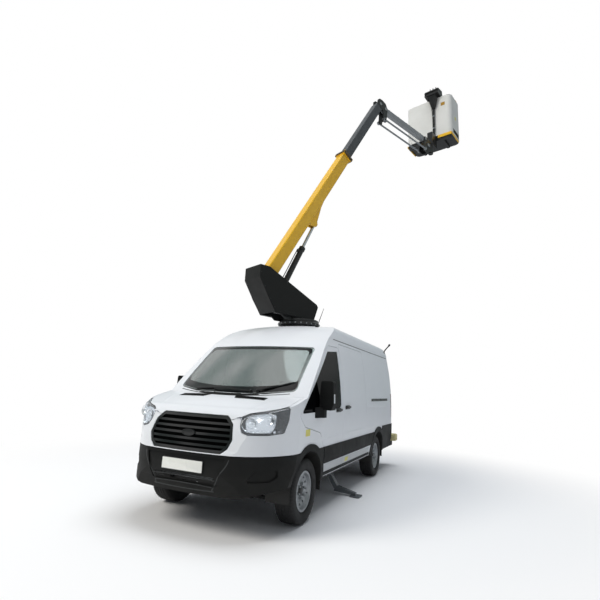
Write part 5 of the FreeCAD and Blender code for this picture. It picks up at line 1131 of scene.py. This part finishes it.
# Mirrors: glass on the rear face, and a clear repeater let into the housing's outer edge,
# which stays inside the housing's width
mirrorPlan = {"glass": [(1.075, 1.335), (1.195, 1.335), (1.195, 1.59), (1.075, 1.59)],
              "glassRise": 0.002, "repeaterRise": 0.0012, "edge": 1.2216,
              "repeater": [(0.235, 1.345), (0.275, 1.345), (0.275, 1.455), (0.235, 1.455)]}
for side, label in sides:
    mirrorTree = panelTree(f"door_{label}_fittings")
    glass = panelPatch(mirrorTree, [(side * x, 2, z) for x, z in mirrorPlan["glass"]], backward,
                       mirrorPlan["glassRise"], (10, 16))
    makePiece(f"mirrorGlass_{label}", [glass], f"door_{label}", "silveredGlass")
    repeater = sidePatch(mirrorTree, side, mirrorPlan["repeater"], mirrorPlan["repeaterRise"],
                         (6, 14))
    repeater[0][:, 0] = np.clip(repeater[0][:, 0], -mirrorPlan["edge"], mirrorPlan["edge"])
    makePiece(f"mirrorRepeater_{label}", [repeater], f"door_{label}", "opalGlass")

# Rear doors: handle, blank plate in its recess, and the seal between them
rearTree = panelTree("rear_door_left", "rear_door_right")
rearPlan = {"plate": (-0.46, 0.86, 0.52, 0.111), "plateRise": 0.008, "carrierEdge": 0.007,
            "carrierRise": 0.004, "handle": (0.07, 1.10), "handleSize": (0.16, 0.06, 0.003),
            "grip": (0.012, 0.018), "gripSize": (0.136, 0.026, 0.020),
            "sealAt": 0.012, "sealWide": 0.014, "sealRise": 0.0025, "seal": (0.68, 2.17)}


# A skin on the rear doors, from its lower left corner
def rearPatch(x, z, wide, high, rise):
    corners = [(x, 6, z), (x + wide, 6, z), (x + wide, 6, z + high), (x, 6, z + high)]
    return panelPatch(rearTree, corners, backward, rise, (14, 8))


x, z, wide, high = rearPlan["plate"]
edge = rearPlan["carrierEdge"]
makePiece("rearPlateCarrier", [rearPatch(x - edge, z - edge, wide + 2 * edge, high + 2 * edge,
                                         rearPlan["carrierRise"])], "rear_door_right",
          "blackAbs")
makePiece("rearPlate", [rearPatch(x, z, wide, high, rearPlan["plateRise"])], "rear_door_right",
          "platePlastic")
(x, z), (gripX, gripZ) = rearPlan["handle"], rearPlan["grip"]
makePiece("rearHandle", [rearPatch(x, z, *rearPlan["handleSize"]),
                         rearPatch(x + gripX, z + gripZ, *rearPlan["gripSize"])],
          "rear_door_left", "blackAbs")
run = pointsOf(rearPlan["sealAt"], 6.0, np.linspace(*rearPlan["seal"], 60))
makePiece("rearSeal", [panelRibbon(rearTree, run, rearPlan["sealWide"], backward,
                                   rearPlan["sealRise"])], "rear_door_left", "tyreRubber")

# Rear step: tread pads on its top and cream rubber caps on its ends
stepTree = panelTree("rear_bumper")
stepPlan = {"pads": np.linspace(-0.80, 0.80, 9), "padHalf": 0.075, "from": 4.60, "to": 4.72,
            "padRise": 0.0025, "caps": (0.935, -1.100), "capSize": (0.165, 0.1825, 0.143),
            "capCorner": (4.560, 0.505), "capRound": 0.030}
pads = []
for x in stepPlan["pads"]:
    left, right = x - stepPlan["padHalf"], x + stepPlan["padHalf"]
    corners = [(left, stepPlan["from"], 4), (right, stepPlan["from"], 4),
               (right, stepPlan["to"], 4), (left, stepPlan["to"], 4)]
    pads.append(panelPatch(stepTree, corners, down, stepPlan["padRise"], (8, 6)))
makePiece("stepPads", pads, "van", "tyreRubber")
caps = []
for x in stepPlan["caps"]:
    low = np.array((x, *stepPlan["capCorner"]))
    caps.append(softBlock(low, low + stepPlan["capSize"], stepPlan["capRound"]))
makePiece("stepCaps", caps, "van", "creamRubber")

# Wheel arches: a dark liner, a cylinder about the axle whose outer edge follows the panels
archPlan = {"radius": 0.4342, "wave": 0.0004, "level": 0.356, "inner": 0.70, "from": -8,
            "to": 188, "feeler": 0.440, "inside": 0.001, "axles": (0.0, 3.3)}
archTree = {side: panelTree(f"side_{label}", "front_body", "front_bumper", "cladding",
                            f"door_{label}") for side, label in sides}
turn = np.radians(np.linspace(archPlan["from"], archPlan["to"], 73))
around = np.stack([np.cos(turn), np.sin(turn)], -1)
share = np.linspace(0, 1, 8)[None]
liners = []
for side, _ in sides:
    for axle in archPlan["axles"]:
        middle = np.array((axle, archPlan["level"]))
        y, z = (middle + archPlan["feeler"] * around).T
        edge = onPanel(archTree[side], pointsOf(side * 2.0, y, z), inward[side], 0.0)
        edge = np.abs(edge[:, 0]) - archPlan["inside"]
        edge = np.median([np.roll(edge, k) for k in (-2, -1, 0, 1, 2)], axis=0)
        x = archPlan["inner"] + share * (edge[:, None] - archPlan["inner"])
        reach = archPlan["radius"] - archPlan["wave"] * np.cos(share * 40)
        liners.append(gridPart(pointsOf(side * x, axle + reach * around[:, :1],
                                        archPlan["level"] + reach * around[:, 1:])))
makePiece("archLiners", liners, "van", "underbodyWax", smooth=60)
print("sides and roof dressed")

# Frames of the platform, each drawn with x along the boom's plane and y across it: the
# turret's and its cylinder's, the boom's, its head's, the jib's, the bracket's and the basket's
platformPlan = {"turretSpot": (0, 1.75, 0), "turretTurn": 65, "footPin": (-0.78, 0, 3.24),
                "boomLift": 59, "boomLong": 5.61, "ramPin": (-0.50, 0, 2.98),
                "ramLift": 63.742, "jibPin": (0.19, 0, -0.04), "jibLong": 1.66, "post": 0.34,
                "basketTurn": 75, "basketBase": 8.37}


# A turn about the upright, as a matrix of a cosine and a sine
def turnAbout(degrees):
    a = math.radians(degrees)
    return np.array([[math.cos(a), -math.sin(a), 0], [math.sin(a), math.cos(a), 0], [0, 0, 1]])


# A turn upwards in the boom's plane
def tiltUp(degrees):
    a = math.radians(degrees)
    return np.array([[math.cos(a), 0, -math.sin(a)], [0, 1, 0], [math.sin(a), 0, math.cos(a)]])


turretTurn, boomTilt = turnAbout(platformPlan["turretTurn"]), tiltUp(platformPlan["boomLift"])
headPoint = platformPlan["footPin"] + boomTilt @ (platformPlan["boomLong"], 0, 0)
jibPoint = headPoint + platformPlan["jibPin"]
bracketPoint = jibPoint + (platformPlan["jibLong"], 0, 0)
postPoint = (platformPlan["turretSpot"]
             + turretTurn @ (bracketPoint + (platformPlan["post"], 0, 0)))


# Parts drawn in one of the frames, taken to the van's through those that carry it
def inTurret(part):
    return moved(part, platformPlan["turretSpot"], turretTurn)


def inBoom(part):
    return inTurret(moved(part, platformPlan["footPin"], boomTilt))


def inRam(part):
    return inTurret(moved(part, platformPlan["ramPin"], tiltUp(platformPlan["ramLift"])))


def inHead(part):
    return inTurret(moved(part, headPoint))


def inJib(part):
    return inTurret(moved(part, jibPoint))


def inBracket(part):
    return inTurret(moved(part, bracketPoint))


# The basket's origin is on its post's axis, at the level of its base
def inBasket(part):
    return moved(part, (postPoint[0], postPoint[1], platformPlan["basketBase"]),
                 turnAbout(platformPlan["basketTurn"]))


# Caps on both ends of a pin across the boom's plane; its profile is (outwards, radius)
def pinCaps(profile, x, half, z, steps=28):
    return [spun(profile, (x, side * half, z), (0, side, 0), steps) for side in (1, -1)]


# A flat plate: an outline in the boom's plane given a thickness across it
def acrossPlate(outline, start, thick):
    x, z = np.array(outline).T
    return gridPart(np.array([pointsOf(x, start, z), pointsOf(x, start + thick, z)]),
                    closeColumns=True, ends=True)


# Turret cover. Its lower front corner is folded sheet: both side plates reach down to the
# seat, with the front sheet between them. Rivets run along its edges, rubber below
coverPlan = {"outline": [(-1.03, 3.19), (-1.03, 3.40), (-0.85, 3.40), (0.205, 2.945),
                         (0.238, 2.90), (0.15, 2.654), (-0.68, 2.67), (-0.87, 2.94)],
             "half": 0.215, "thick": 0.006, "fold": 0.2088,
             "corner": [(-0.264, 2.6622), (0.15, 2.654), (0.238, 2.90), (0.2312, 2.9102),
                        (-0.264, 2.9102)],
             "front": [(0.1915, 2.770), (0.238, 2.90), (0.2318, 2.9022), (0.1853, 2.7722)],
             "rivet": [(0, 0.0085), (0.0015, 0.008), (0.0032, 0.0055), (0.004, 0.001)],
             "rivetSpace": 0.16, "rivetIn": 0.028, "rivetFace": 0.2152,
             "lip": [(0.13, 2.661), (-0.67, 2.677), (-0.862, 2.937)], "lipAt": 0.2165,
             "lipSize": (0.006, 0.014)}
half, thick, fold = (coverPlan[key] for key in ("half", "thick", "fold"))
folds = [acrossPlate(coverPlan["corner"], -half, thick),
         acrossPlate(coverPlan["corner"], half - thick, thick),
         acrossPlate(coverPlan["front"], -fold, 2 * fold)]
makePiece("coverFrontFold", folds, "turret", "turretPowderCoat", smooth=20, place=inTurret)

outline = np.array(coverPlan["outline"])
middle = outline.mean(0)
rivets, lips = [], []
for side in (1, -1):
    for start, end in zip(outline, np.roll(outline, -1, 0)):
        count = max(int(np.linalg.norm(end - start) / coverPlan["rivetSpace"]), 1)
        share = (np.arange(count) + 0.5) / count
        spots = start + share[:, None] * (end - start)
        towards = (middle - spots) / np.linalg.norm(middle - spots, axis=1, keepdims=True)
        for x, z in spots + towards * coverPlan["rivetIn"]:
            rivets.append(spun(coverPlan["rivet"], (x, side * coverPlan["rivetFace"], z),
                               (0, side, 0), 14))
    keys = np.array([(x, side * coverPlan["lipAt"], z) for x, z in coverPlan["lip"]])
    run = np.concatenate([np.linspace(keys[0], keys[1], 20),
                          np.linspace(keys[1], keys[2], 8)[1:]])
    lips.append(carry(roundedLoop(*coverPlan["lipSize"], 0.0025, 3), run))
makePiece("coverRivets", rivets, "turret", "blackPowderCoat", place=inTurret)
makePiece("coverLip", lips, "turret", "grainedPolypropylene", place=inTurret)

# Bolts round the side of the fixed seat below the turret
ringPlan = {"radius": 0.3595, "level": 2.572, "size": 0.013, "count": 24}
ringBolts = []
for x, y in circleLoop(1.0, ringPlan["count"]):
    out = np.array((x, y, 0))
    spot = ringPlan["radius"] * out + platformPlan["turretSpot"] + (0, 0, ringPlan["level"])
    ringBolts += boltHead(spot, out, ringPlan["size"])
makePiece("ringBolts", ringBolts, "van", "zincSteel")

# Ends of the boom's foot pin and of the cylinder's pin
turretCap = {"half": 0.1502, "cap": [(0, 0.034), (0.006, 0.034), (0.008, 0.030), (0.008, 0.004)]}
caps = [cap for x, _, z in (platformPlan["footPin"], platformPlan["ramPin"])
        for cap in pinCaps(turretCap["cap"], x, turretCap["half"], z)]
makePiece("turretPinCaps", caps, "turret", "zincSteel", place=inTurret)

# Outer boom: a band over the mouth's collar, its wear pads' screws, and the hose cover below.
# The band's rings are (along, share of the collar)
collarPlan = {"along": 3.465, "across": 0.1315, "above": 0.1365, "apart": 0.06,
              "screw": [(0, 0.010), (0.006, 0.010), (0.009, 0.007)], "size": (0.264, 0.274),
              "round": 0.012,
              "rings": [(3.4290, 0.90), (3.4290, 0.995), (3.4305, 1.004), (3.4990, 1.004),
                        (3.5005, 0.995), (3.5005, 0.79)]}
coverStrip = {"start": 0.35, "end": 1.38, "below": -0.1115, "size": (0.07, 0.010)}
screws = []
for side in (1, -1):
    for offset in (-collarPlan["apart"], collarPlan["apart"]):
        along, across, above = (collarPlan[key] for key in ("along", "across", "above"))
        screws.append(spun(collarPlan["screw"], (along, side * across, offset), (0, side, 0), 6))
        screws.append(spun(collarPlan["screw"], (along, offset, side * above), (0, 0, side), 6))
makePiece("collarScrews", screws, "boom_outer", "zincSteel", place=inBoom)
loop = roundedLoop(*collarPlan["size"], collarPlan["round"])
rings = [pointsOf(x, loop[:, 0] * share, loop[:, 1] * share) for x, share in collarPlan["rings"]]
makePiece("collarBand", [gridPart(np.array(rings), closeColumns=True)], "boom_outer",
          "bronzeWearPad", place=inBoom)
run = pointsOf(np.linspace(coverStrip["start"], coverStrip["end"], 30), 0, coverStrip["below"])
makePiece("boomHoseTrough", [carry(roundedLoop(*coverStrip["size"], 0.004, 4), run)],
          "boom_outer", "blackPowderCoat", place=inBoom)

# Lift cylinder: gland, port blocks and the steel pipe between them
ramPlan = {"gland": [(1.055, 0.050), (1.055, 0.0575), (1.062, 0.059), (1.112, 0.059),
                     (1.120, 0.0575), (1.1205, 0.030)],
           "ports": [((0.12, -0.026, 0.040), (0.22, 0.026, 0.086)),
                     ((0.98, -0.022, 0.044), (1.04, 0.022, 0.078))],
           "pipe": [(0.20, 0, 0.076), (0.30, 0, 0.082), (0.60, 0, 0.080), (0.90, 0, 0.080),
                    (0.99, 0, 0.072)], "pipeRadius": 0.008}
ramParts = [spun(ramPlan["gland"], (0, 0, 0), (1, 0, 0), 36)]
ramParts += [softBlock(low, high, 0.006) for low, high in ramPlan["ports"]]
ramParts.append(carry(circleLoop(ramPlan["pipeRadius"], 12), smoothPath(ramPlan["pipe"]),
                      up=(0, 1, 0)))
makePiece("ramFittings", ramParts, "lift_barrel", "blackPowderCoat", place=inRam)

# Boom head: pin caps with a keeper bolt beside each
headPlan = {"cap": [(0, 0.036), (0.007, 0.036), (0.010, 0.032), (0.010, 0.006)],
            "pins": [(0.0, 0.0), (0.19, -0.04)], "half": 0.0702, "bolt": (0.048, 0.012),
            "boltSize": 0.014}
headParts = []
for x, z in headPlan["pins"]:
    headParts += pinCaps(headPlan["cap"], x, headPlan["half"], z)
    for side in (1, -1):
        spot = (x + headPlan["bolt"][0], side * headPlan["half"], z + headPlan["bolt"][1])
        headParts += boltHead(spot, (0, side, 0), headPlan["boltSize"])
makePiece("headPinCaps", headParts, "boom_head", "zincSteel", place=inHead)

# Jib: three hoses held by clamps along its top
jibPlan = {"clamps": (0.20, 0.55, 0.90, 1.25, 1.50), "clampHalf": (0.014, 0.030),
           "clampLevels": (0.066, 0.096), "hoses": (-0.018, 0.0, 0.018), "hoseRadius": 0.0075,
           "start": 0.12, "end": 1.57, "low": 0.066, "level": 0.081}
along, across = jibPlan["clampHalf"]
low, high = jibPlan["clampLevels"]
clamps = [softBlock((x - along, -across, low), (x + along, across, high), 0.006)
          for x in jibPlan["clamps"]]
makePiece("jibClamps", clamps, "jib_beam", "blackAbs", place=inJib)
hoses = []
for y in jibPlan["hoses"]:
    keys = ([(jibPlan["start"], y, jibPlan["low"])]
            + [(x, y, jibPlan["level"]) for x in jibPlan["clamps"]]
            + [(jibPlan["end"], y, jibPlan["low"])])
    hoses.append(carry(circleLoop(jibPlan["hoseRadius"], 10), smoothPath(keys), up=(0, 1, 0)))
makePiece("jibHoses", hoses, "jib_beam", "rubberHose", place=inJib)

# Basket's bracket: pin caps and a stop block
bracketPlan = {"cap": [(0, 0.033), (0.006, 0.033), (0.009, 0.028), (0.009, 0.004)],
               "pins": [(0.0, 0.0702, 0.0), (-0.06, 0.1152, -0.325)],
               "block": ((0.08, -0.085, -0.17), (0.19, -0.0705, -0.09))}
bracketParts = [cap for x, half, z in bracketPlan["pins"]
                for cap in pinCaps(bracketPlan["cap"], x, half, z)]
bracketParts.append(softBlock(*bracketPlan["block"], 0.006))
makePiece("bracketFittings", bracketParts, "basket_bracket", "zincSteel", place=inBracket)
print("platform dressed")

# Basket tub: rim, trim below it and pressed ribs on its long sides
tubPlan = {"front": 0.215, "deep": 0.70, "wide": 1.26, "aside": 0.135, "corner": 0.13,
           "spacing": 0.05, "rim": (0.030, 0.028), "rimAt": (-0.016, 1.1355),
           "trim": (0.016, 0.010), "trimAt": (-0.009, 1.1165), "ribs": (-0.30, 0.135, 0.57),
           "rib": (0.034, 0.008), "ribLow": 0.14, "ribHigh": 1.04,
           "ribFaces": ((0.2195, -1), (0.9105, 1))}
nearWall = tubPlan["aside"] - tubPlan["wide"] / 2


# The tub's rounded outline moved out by an amount, at a level, its straight sides cut up finely
def tubLoop(out, level):
    plan = tubPlan
    loop = roundedLoop(plan["deep"] + 2 * out, plan["wide"] + 2 * out, plan["corner"] + out, 8)
    x, y = softOutline(loop, 0, plan["spacing"]).T
    return pointsOf(x + plan["front"] + plan["deep"] / 2, y + plan["aside"], level)


makePiece("tubRim", [carry(roundedLoop(*tubPlan["rim"], 0.009, 4), tubLoop(*tubPlan["rimAt"]),
                           closed=True)], "basket", "greyGelcoat", smooth=50, place=inBasket)
# the rim's trim is in the plastic painted a shade paler, as a highlight
makePiece("tubRimTrim", [carry(roundedLoop(*tubPlan["trim"], 0.003, 3),
                               tubLoop(*tubPlan["trimAt"]), closed=True)], "basket",
          "edgeHighlightPlastic", smooth=50, place=inBasket)
ribs = []
for x, side in tubPlan["ribFaces"]:
    for y in tubPlan["ribs"]:
        run = pointsOf(x, y, np.linspace(tubPlan["ribLow"], tubPlan["ribHigh"], 24))
        ribs.append(carry(roundedLoop(*tubPlan["rib"], 0.0038, 4), run, up=(side, 0, 0)))
makePiece("tubSwages", ribs, "basket", "greyGelcoat", place=inBasket)

# Anti-slip floor mat: pimples 19 mm apart, a product of sines in the two directions
matPlan = {"deep": (0.262, 0.868), "wide": (-0.43, 0.70), "level": 0.0415, "pimple": 0.0025,
           "wave": 330, "rows": 70, "columns": 120}
x, y = np.meshgrid(np.linspace(*matPlan["deep"], matPlan["rows"]),
                   np.linspace(*matPlan["wide"], matPlan["columns"]), indexing="ij")
wave = matPlan["wave"]
pimple = matPlan["pimple"] * np.clip(np.sin(x * wave) * np.sin(y * wave), 0, 1)
makePiece("floorMat", [gridPart(pointsOf(x, y, matPlan["level"] + pimple))], "basket",
          "grainedPolypropylene", smooth=80, place=inBasket)

# Grab loop of yellow tube on the near end wall, as (along, off the wall, level), and the rail
# inside the tub
grabPlan = {"radius": 0.0125,
            "loop": [(0.60, 0.012, 0.985), (0.612, 0.03, 1.02), (0.62, 0.03, 1.09),
                     (0.62, 0.03, 1.175), (0.66, 0.03, 1.205), (0.74, 0.03, 1.205),
                     (0.78, 0.03, 1.175), (0.78, 0.03, 1.09), (0.788, 0.03, 1.02),
                     (0.80, 0.012, 0.985)],
            "rail": [(0.245, -0.33, 1.02), (0.29, -0.33, 1.03), (0.29, -0.27, 1.03),
                     (0.29, 0.55, 1.03), (0.29, 0.61, 1.03), (0.245, 0.61, 1.02)]}
tube = circleLoop(grabPlan["radius"], 12)
loop = smoothPath(np.array(grabPlan["loop"]) + (0, nearWall, 0), 6)
makePiece("grabRails", [carry(tube, loop, up=(0.1, 1, 0.1)),
                        carry(tube, smoothPath(grabPlan["rail"], 6))], "basket",
          "yellowEnamel", place=inBasket)


# A soft-edged block on the near end wall: places along and up, and how far in and out it goes
def wallBlock(along, reach, level, radius):
    return softBlock((along[0], nearWall + reach[0], level[0]),
                     (along[1], nearWall + reach[1], level[1]), radius)


# Black scuff pad low on the near end wall, the blank label above it and the patch on the front
makePiece("scuffPad", [wallBlock((0.36, 0.77), (-0.004, 0.010), (0.035, 0.15), 0.005)], "basket",
          "grainedPolypropylene", place=inBasket)
makePiece("basketLabel", [wallBlock((0.50, 0.59), (-0.0015, 0.004), (0.50, 0.585), 0.001)],
          "basket", "yellowLabelFilm", place=inBasket)
makePiece("basketPatch", [softBlock((0.2135, -0.335, 0.86), (0.222, -0.225, 0.955), 0.001)],
          "basket", "ochrePaint", place=inBasket)

# Clamps that hold the console's stalk to the tub
stalkPlan = {"place": (0.173, -0.04), "radius": 0.031, "clamp": (0.010, 0.034),
             "levels": (0.215, 0.585)}
x, y = (circleLoop(stalkPlan["radius"], 24) + stalkPlan["place"]).T
clamps = [carry(roundedLoop(*stalkPlan["clamp"], 0.003, 3), pointsOf(x, y, level), closed=True)
          for level in stalkPlan["levels"]]
makePiece("stalkClamps", clamps, "basket", "zincSteel", place=inBasket)

# Console: lever gaiters, button rows, a stop knob and the hood's seam. Places on its slope are
# (share of the slope, across), and profiles are (off the slope, radius)
consolePlan = {"aside": -0.04, "slope": ((0.04, 1.325), (0.325, 1.385)),
               "leverRow": 0.10, "levers": (-0.12, -0.04, 0.04),
               "gaiter": [(-0.004, 0.024), (0.004, 0.024), (0.008, 0.019), (0.012, 0.020),
                          (0.016, 0.014), (0.020, 0.015), (0.024, 0.008)],
               "lever": [(0.02, 0.0045), (0.030, 0.0045), (0.033, 0.010), (0.042, 0.012),
                         (0.049, 0.009), (0.051, 0.003)],
               "buttonRow": 0.42, "buttons": (-0.15, -0.11, -0.07, -0.03, 0.01, 0.05),
               "button": [(-0.004, 0.010), (0.004, 0.010), (0.006, 0.0085), (0.009, 0.008),
                          (0.010, 0.005)],
               "knobPlace": (0.25, 0.13),
               "knob": [(-0.004, 0.012), (0.008, 0.012), (0.010, 0.019), (0.018, 0.020),
                        (0.022, 0.016), (0.024, 0.004)],
               "seam": ((0.012, 1.262), (0.347, 1.268)), "seamHalf": 0.1925}
slopeStart, slopeEnd = np.array(consolePlan["slope"])
slopeRun = slopeEnd - slopeStart
slopeAxis = (-slopeRun[1], 0, slopeRun[0])


# A round form that stands square on the console's slope
def onConsole(profile, row, across, steps):
    x, z = slopeStart + row * slopeRun
    return spun(profile, (x, consolePlan["aside"] + across, z), slopeAxis, steps)


gaiters = [onConsole(consolePlan["gaiter"], consolePlan["leverRow"], across, 24)
           for across in consolePlan["levers"]]
levers = [onConsole(consolePlan["lever"], consolePlan["leverRow"], across, 20)
          for across in consolePlan["levers"]]
buttons = [onConsole(consolePlan["button"], consolePlan["buttonRow"], across, 20)
           for across in consolePlan["buttons"]]
makePiece("leverGaiters", gaiters, "basket", "tyreRubber", smooth=25, place=inBasket)
makePiece("consoleLevers", levers + buttons, "basket", "blackAbs", place=inBasket)
makePiece("stopKnob", [onConsole(consolePlan["knob"], *consolePlan["knobPlace"], 28)], "basket",
          "redPolycarbonate", place=inBasket)
(lowX, lowZ), (highX, highZ) = consolePlan["seam"]
left, right = (consolePlan["aside"] + side * consolePlan["seamHalf"] for side in (-1, 1))
makePiece("consoleSeam", [softBlock((lowX, left, lowZ), (highX, right, highZ), 0.002)], "basket",
          "blackAbs", place=inBasket)

# Cable from the console down to the frame, clipped on the stalk
cablePlan = {"path": [(0.16, 0.01, 0.86), (0.162, -0.005, 0.72), (0.168, -0.012, 0.50),
                      (0.168, -0.012, 0.25), (0.165, -0.010, 0.05), (0.15, 0.01, -0.02)],
             "radius": 0.008}
makePiece("consoleCable", [carry(circleLoop(cablePlan["radius"], 10),
                                 smoothPath(cablePlan["path"]), up=(0, 1, 0))], "basket",
          "rubberHose", place=inBasket)

# Carrier: dark floor tray under the tub, and yellow guards on its front and both its ends
carrierPlan = {"tray": ((0.220, -0.488, -0.026), (0.908, 0.758, -0.0012)), "trayRound": 0.125,
               "trayEdge": 0.008,
               "guards": [((0.212, -0.488, -0.082), (0.224, -0.12, -0.0015), 0.004),
                          ((0.240, -0.494, -0.064), (0.78, -0.479, -0.0015), 0.005),
                          ((0.240, 0.749, -0.064), (0.78, 0.763, -0.0015), 0.005)]}
makePiece("carrierTray", [softBlock(*carrierPlan["tray"], carrierPlan["trayRound"],
                                    carrierPlan["trayEdge"])], "basket", "blackPowderCoat",
          place=inBasket)
makePiece("carrierGuards", [softBlock(*guard) for guard in carrierPlan["guards"]], "basket",
          "yellowEnamel", place=inBasket)
print("basket dressed")

# Seats: cloth over foam. A pad's width is its seat's less a gap, or its own
seatPlan = {
    "driver": {"middle": -0.43, "wide": 0.48, "seats": 1, "node": "driver_seat"},
    "bench": {"middle": 0.33, "wide": 0.84, "seats": 2, "node": "passenger_seat"}}
padPlan = {
    "Cushion": {"gap": 0.03, "deep": 0.50, "high": 0.135, "crown": 0.10, "bolster": 0.018,
                "round": 0.05, "steps": 44, "tilt": 5, "place": (0.905, 0.905)},
    "Back": {"gap": 0.05, "deep": 0.60, "high": 0.115, "crown": 0.10, "bolster": 0.022,
             "round": 0.05, "steps": 44, "tilt": 80, "place": (1.105, 1.235)},
    "Headrest": {"wide": 0.24, "deep": 0.17, "high": 0.085, "crown": 0.05, "bolster": 0.0,
                 "round": 0.035, "steps": 30, "tilt": 80, "place": (1.13, 1.52)}}
bolsterPlan = {"start": 0.55, "rise": 0.3, "end": 1.06, "fall": 0.15, "seam": 0.52,
               "seamWide": 0.03, "seamDeep": 0.006}
seatBase = {"inset": 0.03, "along": (0.70, 1.10), "level": (0.602, 0.83), "round": 0.03,
            "rodSpots": (-0.06, 0.06), "rodRadius": 0.006,
            "rod": [(1.14, 1.40), (1.135, 1.46), (1.13, 1.52)]}
clothPlan = {"voxel": 0.012, "pressure": 4, "quality": 4, "frames": 14, "reach": 0.010}


# A closed form whose section is a rounded box: over its width it swells as 1 - x squared and
# shrinks at both ends as the root of 1 - x to the eighth; bolsters rise on its upper side
# beside a seam that is pressed in as a bell curve
def cushionPart(wide, plan):
    loop = roundedLoop(plan["deep"], plan["high"], plan["round"], 9)
    across = np.linspace(-1, 1, plan["steps"])
    out, edges = np.abs(across), bolsterPlan
    shrink = (1 - out ** 8) ** 0.5 * 0.5 + 0.5
    swell = 1 + plan["crown"] * (1 - across ** 2)
    wing = (plan["bolster"] * np.clip((out - edges["start"]) / edges["rise"], 0, 1)
            * np.clip((edges["end"] - out) / edges["fall"], 0, 1))
    seam = edges["seamDeep"] * np.exp(-((out - edges["seam"]) / edges["seamWide"]) ** 2)
    upward = np.clip(loop[:, 1] / (plan["high"] / 2), 0, 1) ** 2
    y = loop[None, :, 0] * shrink[:, None]
    z = loop[None, :, 1] * (shrink * swell)[:, None] + upward[None] * (wing - seam)[:, None]
    return gridPart(pointsOf(across[:, None] * wide / 2, y, z), closeColumns=True, ends=True)


# A turn backwards about the van's cross axis
def tiltBack(degrees):
    a = math.radians(degrees)
    return np.array([[1, 0, 0], [0, math.cos(a), -math.sin(a)], [0, math.sin(a), math.cos(a)]])


# A mesh's points, as rows of three coordinates
def meshPoints(mesh):
    flat = np.empty(len(mesh.vertices) * 3)
    mesh.vertices.foreach_get("co", flat)
    return flat.reshape(-1, 3)


# A pad blown up as cloth, with each point's move held within a few millimetres
def puffUp(piece):
    remesh = piece.modifiers.new("skin", "REMESH")
    remesh.mode = "VOXEL"
    remesh.voxel_size = clothPlan["voxel"]
    bpy.context.view_layer.objects.active = piece
    with bpy.context.temp_override(object=piece, active_object=piece, selected_objects=[piece]):
        bpy.ops.object.modifier_apply(modifier="skin")
    mesh = piece.data
    start = meshPoints(mesh)
    cloth = piece.modifiers.new("puff", "CLOTH")
    cloth.settings.use_pressure = True
    cloth.settings.uniform_pressure_force = clothPlan["pressure"]
    cloth.settings.effector_weights.gravity = 0
    cloth.settings.quality = clothPlan["quality"]
    for step in range(1, clothPlan["frames"] + 1):
        bpy.context.scene.frame_set(step)
    depsgraph = bpy.context.evaluated_depsgraph_get()
    move = meshPoints(piece.evaluated_get(depsgraph).to_mesh()) - start
    piece.modifiers.remove(cloth)
    reach = np.linalg.norm(move, axis=1, keepdims=True)
    move *= np.minimum(1, clothPlan["reach"] / np.maximum(reach, 1e-9))
    mesh.vertices.foreach_set("co", (start + move).ravel())
    mesh.shade_smooth()
    mesh.update()
    bpy.context.scene.frame_set(1)


for label, plan in seatPlan.items():
    each, reach = plan["wide"] / plan["seats"], plan["wide"] / 2 - seatBase["inset"]
    (near, far), (low, high) = seatBase["along"], seatBase["level"]
    pads = []
    hard = [softBlock((plan["middle"] - reach, near, low), (plan["middle"] + reach, far, high),
                      seatBase["round"])]
    for index in range(plan["seats"]):
        x = plan["middle"] + (index - (plan["seats"] - 1) / 2) * each
        for kind, pad in padPlan.items():
            wide = pad["wide"] if "wide" in pad else each - pad["gap"]
            part = moved(cushionPart(wide, pad), (x, *pad["place"]), tiltBack(pad["tilt"]))
            pads.append(makePiece(f"{label}{kind}{index}", [part], "van", "seatCloth", smooth=60))
        for offset in seatBase["rodSpots"]:
            rod = [(x + offset, along, level) for along, level in seatBase["rod"]]
            hard.append(carry(circleLoop(seatBase["rodRadius"], 10), rod, up=(0, 1, 0)))
    for pad in pads:
        puffUp(pad)
    base = makePiece(f"{label}SeatBase", hard, "van", "blackAbs")
    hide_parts(plan["node"])
print("seats made")
